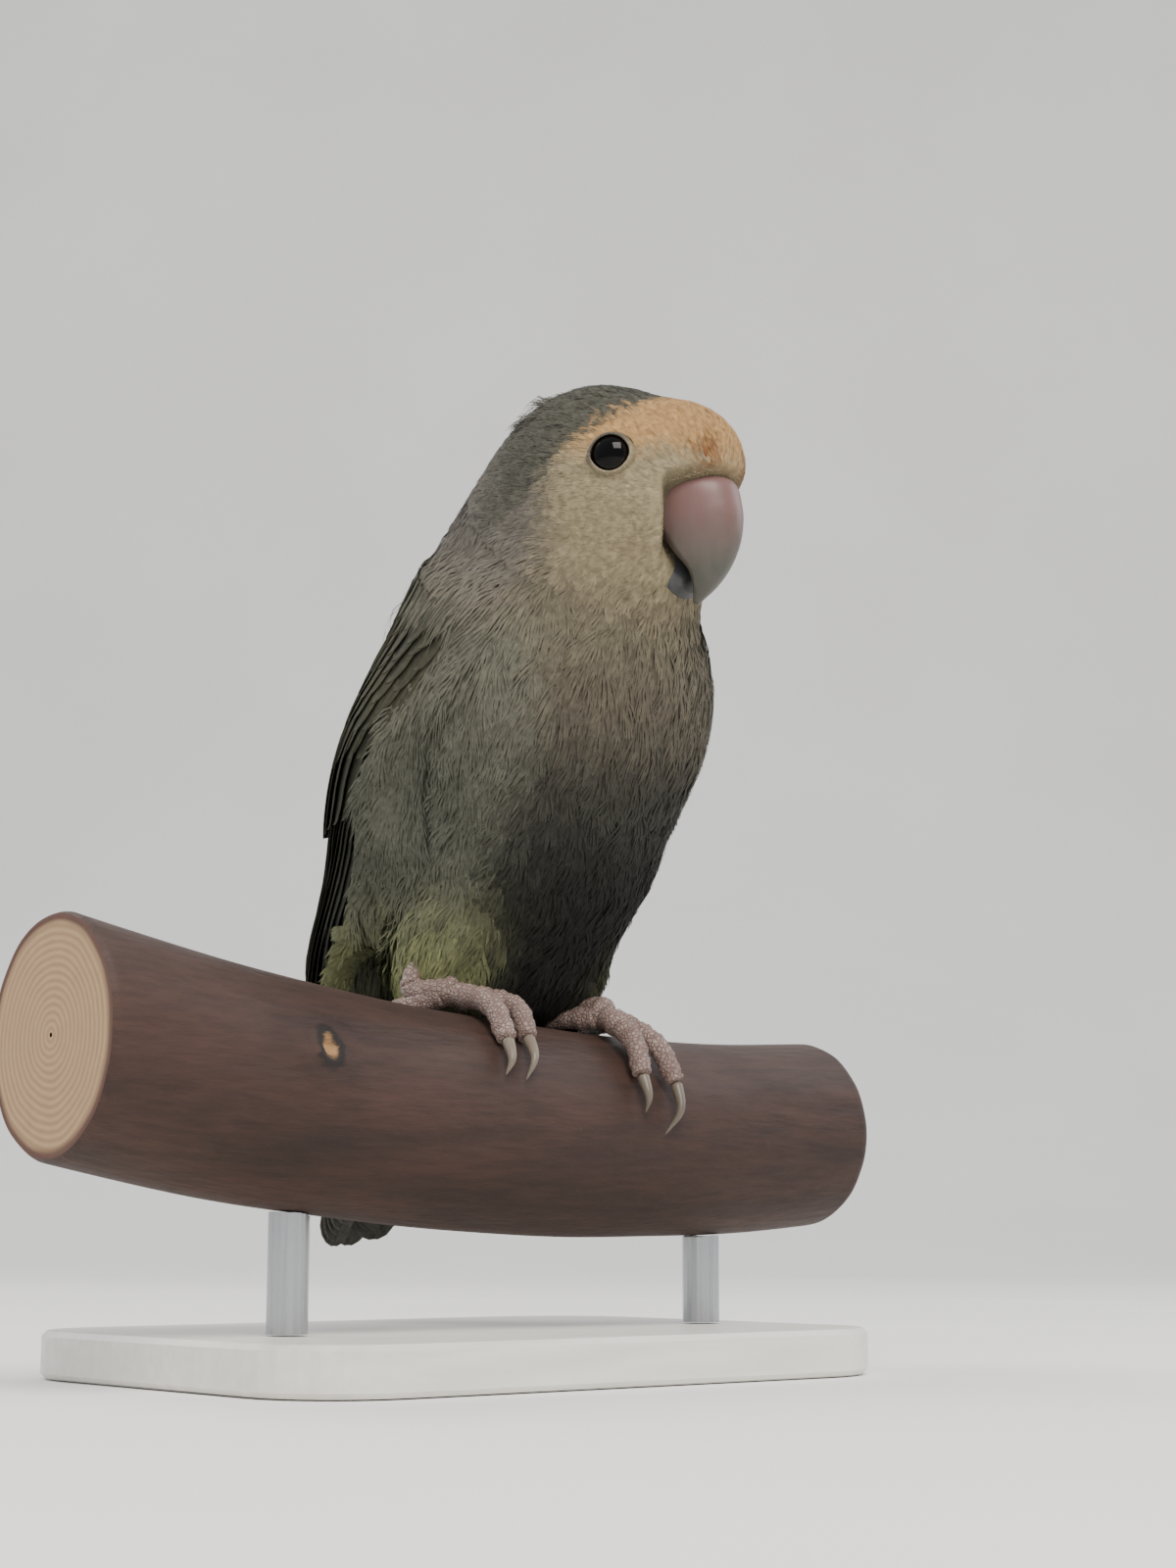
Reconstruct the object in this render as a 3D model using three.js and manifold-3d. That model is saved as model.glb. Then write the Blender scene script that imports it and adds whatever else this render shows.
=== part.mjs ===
// A peach-faced lovebird of the pale grey, cream-faced colour form, perched across a short cut length of
// branch. Two short rods carry it over a flat base. Millimetres, +Z up, origin on the base's underside.
// The bird faces -Y and its left side is at +X. It is built in its own frame, whose origin is on the branch
// between its feet, and the bird's group lifts that frame to branchTop.
import * as THREE from "three";
import { mergeVertices } from "three/addons/utils/BufferGeometryUtils.js";
import Module from "manifold-3d";

const wasm = await Module();
wasm.setup();

// Driving dimensions
const gap = 0.3; // between pieces that touch
const branchTop = 52; // height of the bird's own frame over the floor
const headYaw = 14; // degrees that the head is turned to the bird's left
const headPivot = [0, -12, 76];
const blendRadius = 2.6; // how softly the body's forms run into each other

// Ellipsoids that blend into the body. Pitch, in degrees, leans their tops forward; some turn with the head.
const bodyForms = [
  { name: "breast", at: [0, -5, 52], radii: [25, 23.5, 27], pitch: 22 },
  { name: "belly", at: [0, 1.5, 34], radii: [21, 21, 23], pitch: 20 },
  { name: "vent", at: [-0.5, 6, 16], radii: [10, 12, 14], pitch: 20 },
  { name: "back", at: [0, 12, 55], radii: [19.5, 16, 29], pitch: 30 },
  { name: "rump", at: [0, 29, 18], radii: [12.5, 10.5, 22], pitch: 30 },
  { name: "hind neck", at: [0, -5, 77], radii: [16.6, 17.8, 20], pitch: 20 },
  { name: "cranium", at: [0, -15.5, 88], radii: [14.4, 16.5, 14.3], pitch: 12, turned: true },
  { name: "forehead", at: [0, -30, 86.6], radii: [9.8, 10.4, 10.2], pitch: 20, turned: true },
  { name: "right cheek", at: [-6.5, -22, 79], radii: [8.5, 11.5, 10], pitch: 10, turned: true },
  { name: "left cheek", at: [6.5, -22, 79], radii: [8.5, 11.5, 10], pitch: 10, turned: true },
  { name: "throat", at: [0, -19, 70], radii: [11, 11, 12], pitch: 20, turned: true },
];
const spinePoints = [[0, 16, 16], [0, 4, 38], [0, -7, 62], [3, -19, 87]];
const tailEndShare = 0.22; // share of the body's rings that close its lower end
const crownShare = 0.24; // share that close the crown
const bodyRings = 30;
const bodySpokes = 30;
const reach = 75; // no point of the body is further from the spine
const cuts = { neck: 0.87, shoulders: 0.72 }; // where thin cuts part head, neck and torso, along the spine

const thighs = {
  right: { at: [-13, 8, 15], radii: [8, 12, 15], pitch: 14 },
  left: { at: [9, 6, 14.5], radii: [7, 10, 14], pitch: 14 },
};

// The folded left wing's outer surface spans three edges, each from the shoulder to the wing's tip
const wingEdges = {
  upper: [[9, 16.5, 77], [6, 35, 48.5], [3, 48, 20], [4, 60, -6]],
  middle: [[21, 6, 69], [24.3, 22, 46], [15, 41, 20], [6.4, 58, -7]],
  lower: [[23.5, -7, 62], [27, 9, 42], [21, 22, 22], [8, 55, -8]],
};
const wing = { seat: 3.6, pad: { upTo: 0.275, lowerUpTo: 0.46, lowerTop: 2.1, depth: 6.2, rim: 2.2 } };
const seatSlack = 0.13; // between the rim of a wing and the rim of its seat, besides the gap
const vane = { thickness: 0.55, camber: 0.25, layer: 0.87 }; // layer: from one vane's face to the next one's
const coverts = { count: 6, root: 0.21, tip: 0.5, half: 3.7, tilt: 0.2, depth: 0.7 };
const flights = { half: 3.7, tilt: 0.28, deep: 3.3, shallow: 0.9, rise: [0.5, 0.72] };
// Crowding is how much deeper each next feather lies towards the wing's tip
const secondaries = {
  count: 5,
  rootS: [0.38, 0.41],
  rootW: [0.1, 0.56],
  tipS: [0.7, 0.79],
  tipW: [0.14, 0.5],
  crowding: [0, 0],
};
const primaries = {
  count: 5,
  rootS: [0.41, 0.42],
  rootW: [0.65, 0.95],
  tipS: [0.85, 1],
  tipW: [0.14, 0.82],
  crowding: [0.1, 0.45],
};

const tailLine = [[0, 38, 18], [0, 45, 0], [0.5, 51, -17], [1, 53.5, -32.5]];
const tail = { rootHalf: 6, tipHalf: 8.7, arch: 2.2, root: { upTo: 0.42, top: -1.2, bottom: 7 } };
const tailFeathers = { eachSide: 6, half: 4.1, spread: 0.03, shorter: 0.022, rootS: 0.12 };

// Branch: a shallow arc that sags between its ends and thins to the bird's left, with one healed knot
const branch = { from: -85, to: 58, lowAt: 20, lowAxis: -15.4, bend: 0.00103, radius: 16.2, taper: 0.0135 };
const knot = { x: -50.5, angle: 72, width: 5, height: 0.9 };

// Tarsi, toes and claws run over the branch through points: x, degrees from the branch's top towards the
// front, and height of the centre line over the bark
const tarsusRadius = 2.2;
const toeRadius = 1.7;
const clawRadius = 0.95;
const feet = {
  right: {
    tarsus: [[-18, -14, 12], [-19.8, -19, 4.8], [-16.3, 3, 3.6]],
    toes: [
      [[-15.6, 3, 3.2], [-11.6, 25, 3.2], [-12.7, 46, 1.9]],
      [[-17, 3, 3.2], [-16.4, 27, 3.1], [-17.3, 50, 1.9]],
      [[-17.8, -2, 3], [-22.5, -35, 2.5], [-23.5, -58, 1.9]],
      [[-15, -1, 2.8], [-12.4, -26, 2.3], [-12, -40, 1.9]],
    ],
    claws: [
      [[-12.7, 46, 1.9], [-13.8, 60, 2.2], [-15.4, 70, 0.8]],
      [[-17.3, 50, 1.9], [-18.2, 62, 2], [-19.2, 69, 0.8]],
      [[-23.5, -58, 1.9], [-23.8, -72, 2.1], [-23.8, -80, 0.8]],
      [[-12, -40, 1.9], [-11.8, -52, 2], [-11.8, -59, 0.8]],
    ],
  },
  left: {
    tarsus: [[8.5, -18, 10], [8.8, -8, 4.8], [9.4, 17, 3.6]],
    toes: [
      [[8.8, 18, 3.2], [8.4, 42, 3.1], [7.8, 61, 1.9]],
      [[10, 18, 3.2], [12.6, 44, 3.2], [14.4, 64, 1.9]],
      [[11, 14, 3], [15.4, -20, 2.5], [16.6, -46, 1.9]],
      [[8.2, 14, 2.8], [5.6, -10, 2.3], [5, -27, 1.9]],
    ],
    claws: [
      [[7.8, 61, 1.9], [7.6, 73, 2.1], [7.6, 80, 0.8]],
      [[14.4, 64, 1.9], [13.6, 79, 2.3], [11.4, 91, 0.8]],
      [[16.6, -46, 1.9], [16.9, -60, 2.1], [16.9, -68, 0.8]],
      [[5, -27, 1.9], [4.8, -39, 2], [4.8, -46, 0.8]],
    ],
  },
};

const eye = { radius: 4, from: [0, -20.5, 85.7], towards: [1, -0.42, 0.01], sunk: 2.7 };
const lids = { ring: 3.6, radius: 0.7 };
const nostril = { radius: 0.9, from: [3.2, -32, 84.5], towards: [0.1, -1, 0.42] };

// Bill sections from root to tip, in the unturned head: upper and lower outline (y, z) and half width
const upperBill = [
  { upper: [-30, 84], lower: [-24, 79], half: 5.4 },
  { upper: [-38.2, 83.4], lower: [-28.6, 80.2], half: 6.2 },
  { upper: [-40.3, 79], lower: [-29.8, 76.3], half: 6 },
  { upper: [-40.2, 74.4], lower: [-31.4, 72.3], half: 5.2 },
  { upper: [-38.7, 70.3], lower: [-33.2, 69.4], half: 3.7 },
  { upper: [-36.2, 67], lower: [-33.3, 66.8], half: 2.2 },
  { upper: [-32.8, 64.2], lower: [-32.2, 64.5], half: 0.5 },
];
const lowerBill = [
  { upper: [-25, 77.5], lower: [-19, 69], half: 5 },
  { upper: [-28.6, 75], lower: [-25.5, 68], half: 4.9 },
  { upper: [-30.6, 71.8], lower: [-29.2, 66.8], half: 4 },
  { upper: [-32, 69.2], lower: [-31.4, 67], half: 2.4 },
];
const billRows = 10;

const base = { length: 112, width: 84, thickness: 7, corner: 16, x: -8, y: 9, bevel: 0.8 };
const rods = { radius: 3, at: [-46, 34] };

const colours = {
  head: 0xcdb994,
  neck: 0xa9a08e,
  torso: 0x77746b,
  wing: 0x4a4b45,
  tail: 0x55564f,
  thigh: 0x7c7f66,
  foot: 0xa08b86,
  claw: 0x9a8f78,
  upperBill: 0xc09a9a,
  lowerBill: 0x6a7478,
  eye: 0x0a0908,
  branch: 0x5a3a30,
  base: 0xcfccc4,
  rod: 0xa6a8aa,
};

// Small helpers

const vec = (p) => new THREE.Vector3(...p);
const radians = THREE.MathUtils.degToRad;
const lerp = THREE.MathUtils.lerp;

const headTurn = new THREE.Matrix4()
  .makeTranslation(vec(headPivot))
  .multiply(new THREE.Matrix4().makeRotationZ(radians(headYaw)))
  .multiply(new THREE.Matrix4().makeTranslation(vec(headPivot).negate()));

// A Catmull-Rom curve through points, carried straight on past its ends; t runs from 0 to 1 over equal spans
function along(points, t) {
  const spans = points.length - 1;
  const i = THREE.MathUtils.clamp(Math.floor(t * spans), 0, spans - 1);
  const f = t * spans - i;
  const p1 = vec(points[i]);
  const p2 = vec(points[i + 1]);
  const p0 = i > 0 ? vec(points[i - 1]) : p1.clone().multiplyScalar(2).sub(p2);
  const p3 = i + 2 <= spans ? vec(points[i + 2]) : p2.clone().multiplyScalar(2).sub(p1);
  const linear = p2.clone().sub(p0);
  const square = p0.clone().multiplyScalar(2).addScaledVector(p1, -5).addScaledVector(p2, 4).sub(p3);
  const cube = p1.clone().multiplyScalar(3).sub(p0).addScaledVector(p2, -3).add(p3);
  return p1
    .multiplyScalar(2)
    .addScaledVector(linear, f)
    .addScaledVector(square, f * f)
    .addScaledVector(cube, f * f * f)
    .multiplyScalar(0.5);
}

// A closed skin over rings of points that all have the same count. From flipFrom on, the squares of each ring
// are split the other way, so that the two faces of a thin form are split alike.
function skin(rings, flipFrom = Infinity) {
  const count = rings[0].length;
  const faces = [];
  for (let i = 0; i + 1 < rings.length; i++)
    for (let j = 0; j < count; j++) {
      const a = i * count + j;
      const b = i * count + ((j + 1) % count);
      const c = a + count;
      const d = b + count;
      if (j < flipFrom) faces.push(a, b, d, a, d, c);
      else faces.push(a, b, c, b, d, c);
    }
  const last = (rings.length - 1) * count;
  for (let j = 1; j + 1 < count; j++) faces.push(0, j + 1, j, last, last + j, last + j + 1);
  const geometry = new THREE.BufferGeometry();
  const positions = rings.flat().flatMap((p) => p.toArray());
  geometry.setAttribute("position", new THREE.Float32BufferAttribute(positions, 3));
  geometry.setIndex(faces);
  return geometry;
}

function toSolid(geometry) {
  const bare = new THREE.BufferGeometry().setAttribute("position", geometry.getAttribute("position"));
  bare.setIndex(geometry.index);
  const merged = mergeVertices(bare, 1e-4);
  const index = merged.index.array;
  const kept = [];
  for (let i = 0; i < index.length; i += 3) {
    const [a, b, c] = [index[i], index[i + 1], index[i + 2]];
    if (a !== b && b !== c && a !== c) kept.push(a, b, c);
  }
  const vertProperties = new Float32Array(merged.attributes.position.array);
  const build = (triVerts) => new wasm.Manifold(new wasm.Mesh({ numProp: 3, vertProperties, triVerts }));
  const solid = build(new Uint32Array(kept));
  return solid.volume() > 0 ? solid : build(new Uint32Array(kept.reverse()));
}

function toGeometry(solid) {
  const mesh = solid.getMesh();
  const positions = [];
  for (let i = 0; i < mesh.numVert; i++)
    positions.push(...mesh.vertProperties.subarray(i * mesh.numProp, i * mesh.numProp + 3));
  const geometry = new THREE.BufferGeometry();
  geometry.setAttribute("position", new THREE.Float32BufferAttribute(positions, 3));
  geometry.setIndex([...mesh.triVerts]);
  return geometry;
}

const largest = (solid) => solid.decompose().sort((a, b) => b.volume() - a.volume())[0];
const union = (solids) => solids.reduce((whole, piece) => whole.add(piece));

function ball({ at, radii, pitch = 0 }, grow = 0, spokes = 16, rings = 12) {
  const geometry = new THREE.SphereGeometry(1, spokes, rings);
  geometry.rotateX(Math.PI / 2);
  geometry.scale(...radii.map((r) => r + grow));
  geometry.rotateX(radians(pitch));
  geometry.translate(...at);
  return toSolid(geometry);
}

// Body: blended ellipsoids, met by rays that leave the spine

function placeForm({ at, radii, pitch, turned }) {
  const turn = new THREE.Matrix4().makeRotationX(radians(pitch));
  const centre = vec(at);
  if (turned) {
    centre.applyMatrix4(headTurn);
    turn.premultiply(new THREE.Matrix4().makeRotationZ(radians(headYaw)));
  }
  return { centre, radii: vec(radii), back: turn.clone().transpose() };
}

const placedForms = bodyForms.map(placeForm);

// Roughly the distance from the blended body's surface, negative inside
function bodyField(p) {
  const distances = placedForms.map(({ centre, radii, back }) => {
    const q = p.clone().sub(centre).applyMatrix4(back).divide(radii);
    const near = q.length();
    return (near * (near - 1)) / Math.max(q.divide(radii).length(), 1e-9);
  });
  const least = Math.min(...distances);
  const sum = distances.reduce((total, d) => total + Math.exp((least - d) / blendRadius), 0);
  return least - blendRadius * Math.log(sum);
}

// Where a ray from inside first leaves the body, grown by grow
function leaveBody(from, direction, grow = 0) {
  const at = (r) => from.clone().addScaledVector(direction, r);
  const stride = reach / 60;
  let far = stride;
  while (far < reach && bodyField(at(far)) < grow) far += stride;
  let near = far - stride;
  for (let i = 0; i < 14; i++) {
    const middle = (near + far) / 2;
    if (bodyField(at(middle)) < grow) near = middle;
    else far = middle;
  }
  return at((near + far) / 2);
}

const spineTangent = (t) => along(spinePoints, t + 0.01).sub(along(spinePoints, t - 0.01)).normalize();

// A ray of the body's grid: t runs from the vent to the crown, phi round the spine from the front
function bodyRay(t, phi) {
  const middle = THREE.MathUtils.clamp((t - tailEndShare) / (1 - tailEndShare - crownShare), 0, 1);
  const tangent = spineTangent(middle);
  const side = vec([1, 0, 0]).addScaledVector(tangent, -tangent.x).normalize();
  const front = side.clone().cross(tangent).normalize();
  if (front.y > 0) front.negate();
  let polar = 0;
  if (t < tailEndShare) polar = (-(1 - t / tailEndShare) * Math.PI) / 2;
  if (t > 1 - crownShare) polar = ((1 - (1 - t) / crownShare) * Math.PI) / 2;
  const direction = front
    .multiplyScalar(Math.cos(phi))
    .addScaledVector(side, Math.sin(phi))
    .multiplyScalar(Math.cos(polar))
    .addScaledVector(tangent, Math.sin(polar));
  return { from: along(spinePoints, middle), direction };
}

function bodySolid(grow = 0) {
  const rings = [];
  for (let i = 0; i <= bodyRings; i++) {
    const ring = [];
    for (let j = 0; j < bodySpokes; j++) {
      const { from, direction } = bodyRay(i / bodyRings, ((2 * j) / bodySpokes - 1) * Math.PI);
      ring.push(leaveBody(from, direction, grow));
    }
    rings.push(ring);
  }
  return toSolid(skin(rings));
}

// A thin slab across the spine
function crossCut(t) {
  const slab = new THREE.BoxGeometry(120, 120, gap);
  slab.applyQuaternion(new THREE.Quaternion().setFromUnitVectors(vec([0, 0, 1]), spineTangent(t)));
  slab.translate(...along(spinePoints, t).toArray());
  return toSolid(slab);
}

// Branch

const branchAxis = (x) => branch.lowAxis + branch.bend * (x - branch.lowAt) ** 2;

function branchRadius(x, angle) {
  const apart = Math.hypot(x - knot.x, branch.radius * radians(angle - knot.angle));
  return branch.radius - branch.taper * x + knot.height * Math.exp(-((apart / knot.width) ** 2));
}

// A point over the branch: angle in degrees from its top towards the front
function overBranch([x, angle, height = 0]) {
  const r = branchRadius(x, angle) + height;
  return [x, -r * Math.sin(radians(angle)), branchAxis(x) + r * Math.cos(radians(angle))];
}

function branchSolid(grow = 0, steps = 16, sides = 22) {
  const rings = [];
  for (let i = 0; i <= steps; i++) {
    const x = lerp(branch.from, branch.to, i / steps);
    const ring = [];
    for (let j = 0; j < sides; j++) ring.push(vec(overBranch([x, (360 * (j + 0.5)) / sides - 180, grow])));
    rings.push(ring);
  }
  return toSolid(skin(rings));
}

// A tube through points, whose radius may change along it
function tube(points, radiusAt, rings = 6, sides = 7) {
  const made = [];
  for (let i = 0; i <= rings; i++) {
    const t = i / rings;
    const tangent = along(points, t + 0.02).sub(along(points, t - 0.02)).normalize();
    const side = vec([1, 0, 0]).addScaledVector(tangent, -tangent.x).normalize();
    const other = tangent.clone().cross(side);
    const ring = [];
    for (let j = 0; j < sides; j++) {
      const turn = (2 * Math.PI * (j + 0.5)) / sides;
      const out = side.clone().multiplyScalar(Math.cos(turn)).addScaledVector(other, Math.sin(turn));
      ring.push(along(points, t).addScaledVector(out, radiusAt(t)));
    }
    made.push(ring);
  }
  return toSolid(skin(made));
}

// Surfaces that feathers lie on: point gives a place from s, root to tip, and w, across from 0 to 1

function wingPoint(s, w, side) {
  const p = along(wingEdges.upper, s)
    .multiplyScalar(2 * (w - 0.5) * (w - 1))
    .addScaledVector(along(wingEdges.middle, s), 4 * w * (1 - w))
    .addScaledVector(along(wingEdges.lower, s), 2 * w * (w - 0.5));
  p.x *= side;
  return p;
}

function tailPoint(s, w) {
  const u = 2 * w - 1;
  const sag = tail.arch * u * u;
  return along(tailLine, s).add(vec([u * lerp(tail.rootHalf, tail.tipHalf, s), -sag, -0.3 * sag]));
}

const wingSurface = (side) => ({ side, point: (s, w) => wingPoint(s, w, side) });
const tailSurface = { side: 1, point: tailPoint };

// The direction out of a surface at s and w
function outward({ side, point }, s, w) {
  const h = 0.01;
  const lengthwise = point(s + h, w).sub(point(s - h, w));
  const across = point(s, w + h).sub(point(s, w - h));
  return across.cross(lengthwise).normalize().multiplyScalar(side);
}

// A layer that follows a surface between two depths under it, wider than it by margin on both sides
function layer(surface, { from = 0, to = 1, top, bottom, margin = 0, rows = 12, columns = 8 }) {
  const rings = [];
  for (let i = 0; i <= rows; i++) {
    const s = lerp(from, to, i / rows);
    const extra = margin / surface.point(s, 0).distanceTo(surface.point(s, 1));
    const line = (depth) => {
      const points = [];
      for (let j = 0; j <= columns; j++) {
        const w = lerp(-extra, 1 + extra, j / columns);
        points.push(surface.point(s, w).addScaledVector(outward(surface, s, w), -depth(s, j / columns)));
      }
      return points;
    };
    rings.push([...line(top), ...line(bottom).reverse()]);
  }
  return toSolid(skin(rings, columns + 1));
}

// Torso's hollow for a wing's root, sunk by depth under the wing's surface
const wingSeat = (side, depth, margin) =>
  layer(wingSurface(side), {
    from: -margin / 90,
    to: 0.6,
    top: () => -8,
    bottom: () => depth,
    margin,
    rows: 5,
    columns: 4,
  });

// One feather's vane on a surface, from its root to its rounded tip: closed, thin, a little cambered. Places
// are [s, w]; depth is under the surface; tilt lifts the edge at higher w, which lies over the next vane. The
// shape pairs shares of its length with shares of its width.
const vaneShape = [[0, 0.55], [0.3, 0.95], [0.62, 1], [0.88, 0.74], [1, 0.2]];

function vaneSolid(surface, { root, tip, half, depth, tilt = 0 }) {
  const rings = vaneShape.map(([share, width]) => {
    const at = (q) => surface.point(lerp(root[0], tip[0], q), lerp(root[1], tip[1], q));
    const s = lerp(root[0], tip[0], share);
    const normal = outward(surface, s, lerp(root[1], tip[1], share));
    const run = at(share + 0.02).sub(at(share - 0.02)).normalize();
    const across = run.cross(normal).normalize().multiplyScalar(surface.side);
    const place = (x, rise) => {
      const height = rise - depth(s) + tilt * x * half * width - vane.camber * x * x;
      return at(share).addScaledVector(across, x * half * width).addScaledVector(normal, height);
    };
    const under = [-1, 0, 1].map((x) => place(x, -vane.thickness / 2));
    const over = [1, 0, -1].map((x) => place(x, vane.thickness / 2));
    return [...under, ...over];
  });
  return toSolid(skin(rings, 3));
}

// Height lost towards the rim of the wing's pad
const rimDrop = (s, w) => wing.pad.rim * Math.max(0, 1 - 5 * w, 5 * w - 4, 0.6 - 6 * s) ** 2;

// The wing: a pad of small coverts at the shoulder, stepped down where it holds the flight feathers' roots,
// under one tier of greater coverts and two tiers of flight feathers
function wingSolid(side) {
  const surface = wingSurface(side);
  const { upTo, lowerUpTo, lowerTop, depth } = wing.pad;
  const bottom = () => depth;
  const lowerPad = { from: 0.2, to: lowerUpTo };
  const pieces = [
    layer(surface, { to: upTo, top: rimDrop, bottom, rows: 5, columns: 7 }),
    layer(surface, { ...lowerPad, top: () => lowerTop, bottom, margin: -2, rows: 4, columns: 5 }),
  ];
  for (let i = 0; i < coverts.count; i++) {
    const w = lerp(0.1, 0.9, i / (coverts.count - 1));
    const tip = coverts.tip - 0.03 * Math.abs(2 * w - 1);
    const { root, half, tilt, depth: under } = coverts;
    pieces.push(vaneSolid(surface, { root: [root, w], tip: [tip, w], half, tilt, depth: () => under }));
  }
  const { half, tilt, deep, shallow, rise } = flights;
  const flightDepth = (s) => lerp(deep, shallow, THREE.MathUtils.smoothstep(s, ...rise));
  for (const { count, rootS, rootW, tipS, tipW, crowding } of [secondaries, primaries])
    for (let i = 0; i < count; i++) {
      const share = i / (count - 1);
      const root = [lerp(...rootS, share), lerp(...rootW, share)];
      const tip = [lerp(...tipS, share ** 0.7), lerp(...tipW, share)];
      const crowded = (s) => (i + 1) * lerp(...crowding, THREE.MathUtils.smoothstep(s, 0.5, 0.95));
      const under = (s) => flightDepth(s) + crowded(s);
      pieces.push(vaneSolid(surface, { root, tip, half, tilt, depth: under }));
    }
  return union(pieces);
}

// The tail: six feathers a side, each side's own stack, with the uppermost one lying over the middle
function tailSolid() {
  const { upTo, top, bottom } = tail.root;
  const rootBlock = layer(tailSurface, {
    from: -0.12,
    to: upTo,
    top: (s) => top * (1 - Math.max(0, s) / upTo),
    bottom: (s) => lerp(bottom, 5.6, Math.max(0, s) / upTo),
    margin: 1,
    rows: 6,
    columns: 4,
  });
  const pieces = [rootBlock];
  for (const side of [-1, 1])
    for (let i = 0; i < tailFeathers.eachSide; i++) {
      const { half, spread, shorter, rootS } = tailFeathers;
      const top = side > 0 && i === 0;
      const centre = top ? 0 : half / tail.tipHalf / 2 + 0.02 + spread * i * 0.5;
      const tip = [1 - shorter * i, 0.5 + side * centre];
      const depth = () => vane.layer * (side > 0 ? i : i + 1) + vane.thickness / 2;
      pieces.push(vaneSolid(tailSurface, { root: [rootS, tip[1]], tip, half, depth }));
    }
  return union(pieces);
}

// Head's own parts

const mirror = ([x, y, z], side) => [side * x, y, z];

// Where a line from inside the unturned head leaves it, on the given side
function onHead({ from, towards }, side) {
  const start = vec(mirror(from, side)).applyMatrix4(headTurn);
  const direction = vec(mirror(towards, side)).transformDirection(headTurn);
  return { direction, place: leaveBody(start, direction) };
}

function eyeParts(side) {
  const { place, direction } = onHead(eye, side);
  const at = place.clone().addScaledVector(direction, -eye.sunk).toArray();
  const sphere = (grow) => ball({ at, radii: [eye.radius, eye.radius, eye.radius] }, grow, 14, 8);
  const ring = new THREE.TorusGeometry(lids.ring, lids.radius, 5, 16);
  ring.applyQuaternion(new THREE.Quaternion().setFromUnitVectors(vec([0, 0, 1]), direction));
  ring.translate(...place.toArray());
  return { eyeball: sphere(0), socket: sphere(gap), lids: toSolid(ring) };
}

function nostrilPit(side) {
  const at = onHead(nostril, side).place.toArray();
  return ball({ at, radii: [nostril.radius, nostril.radius, nostril.radius] }, 0, 8, 6);
}

// A half of the bill: rings between the stated sections, arched above, with the underside raised by palate
function billSolid(sections, palate, grow = 0) {
  const outline = (key) => sections.map((section) => [0, ...section[key]]);
  const halves = sections.map((section) => [section.half, 0, 0]);
  const rings = [];
  for (let i = 0; i <= billRows; i++) {
    const t = i / billRows;
    const upper = along(outline("upper"), t);
    const lower = along(outline("lower"), t);
    const spread = upper.clone().sub(lower).normalize().multiplyScalar(grow);
    upper.add(spread);
    lower.sub(spread);
    const half = Math.max(along(halves, t).x, 0.3) + grow;
    const at = (x, rise) => lower.clone().lerp(upper, rise).add(vec([half * x, 0, 0]));
    const ring = [];
    for (let j = -4; j <= 4; j++) ring.push(at(Math.sin((j * Math.PI) / 8), Math.cos((j * Math.PI) / 8)));
    for (const x of [0.7, 0, -0.7]) ring.push(at(x, palate * (1 - x * x)));
    rings.push(ring);
  }
  const geometry = skin(rings);
  geometry.applyMatrix4(headTurn);
  return toSolid(geometry);
}

// Assembly

function shade(color, roughness, metalness = 0) {
  return new THREE.MeshStandardMaterial({ color, roughness, metalness });
}

function addPart(group, name, solid, material) {
  const mesh = new THREE.Mesh(toGeometry(largest(solid)), material);
  mesh.name = name;
  group.add(mesh);
}

const sides = [
  ["right", -1],
  ["left", 1],
];

function addBody(bird, grownBody) {
  const eyes = sides.map(([name, side]) => ({ name, ...eyeParts(side) }));
  const upper = billSolid(upperBill, 0.14);
  const upperRoom = billSolid(upperBill, 0.14, gap);
  const lower = billSolid(lowerBill, -0.3).subtract(upperRoom);
  const lowerRoom = billSolid(lowerBill, -0.3, gap);

  let body = bodySolid();
  for (const { lids } of eyes) body = body.add(lids);
  for (const { socket } of eyes) body = body.subtract(socket);
  body = body.subtract(upperRoom).subtract(lowerRoom);
  for (const [, side] of sides)
    body = body.subtract(nostrilPit(side)).subtract(wingSeat(side, wing.seat + gap, seatSlack + gap));
  const heightOf = (solid) => solid.boundingBox().max[2];
  const [head, neck, torso] = body
    .subtract(crossCut(cuts.neck))
    .subtract(crossCut(cuts.shoulders))
    .decompose()
    .sort((a, b) => b.volume() - a.volume())
    .slice(0, 3)
    .sort((a, b) => heightOf(b) - heightOf(a));
  addPart(bird, "head", head, shade(colours.head, 0.9));
  addPart(bird, "neck", neck, shade(colours.neck, 0.9));
  addPart(bird, "torso", torso, shade(colours.torso, 0.9));
  addPart(bird, "bill_upper", upper, shade(colours.upperBill, 0.45));
  addPart(bird, "bill_lower", lower, shade(colours.lowerBill, 0.5));
  for (const { name, eyeball } of eyes) addPart(bird, `eye_${name}`, eyeball, shade(colours.eye, 0.08));
  addPart(bird, "tail", tailSolid().subtract(grownBody), shade(colours.tail, 0.75));
}

function addWings(bird, grownBody) {
  let wingRoom = grownBody;
  for (const [, side] of sides) wingRoom = wingRoom.subtract(wingSeat(side, wing.seat, seatSlack));
  for (const [name, side] of sides)
    addPart(bird, `wing_${name}`, wingSolid(side).subtract(wingRoom), shade(colours.wing, 0.7));
}

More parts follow.
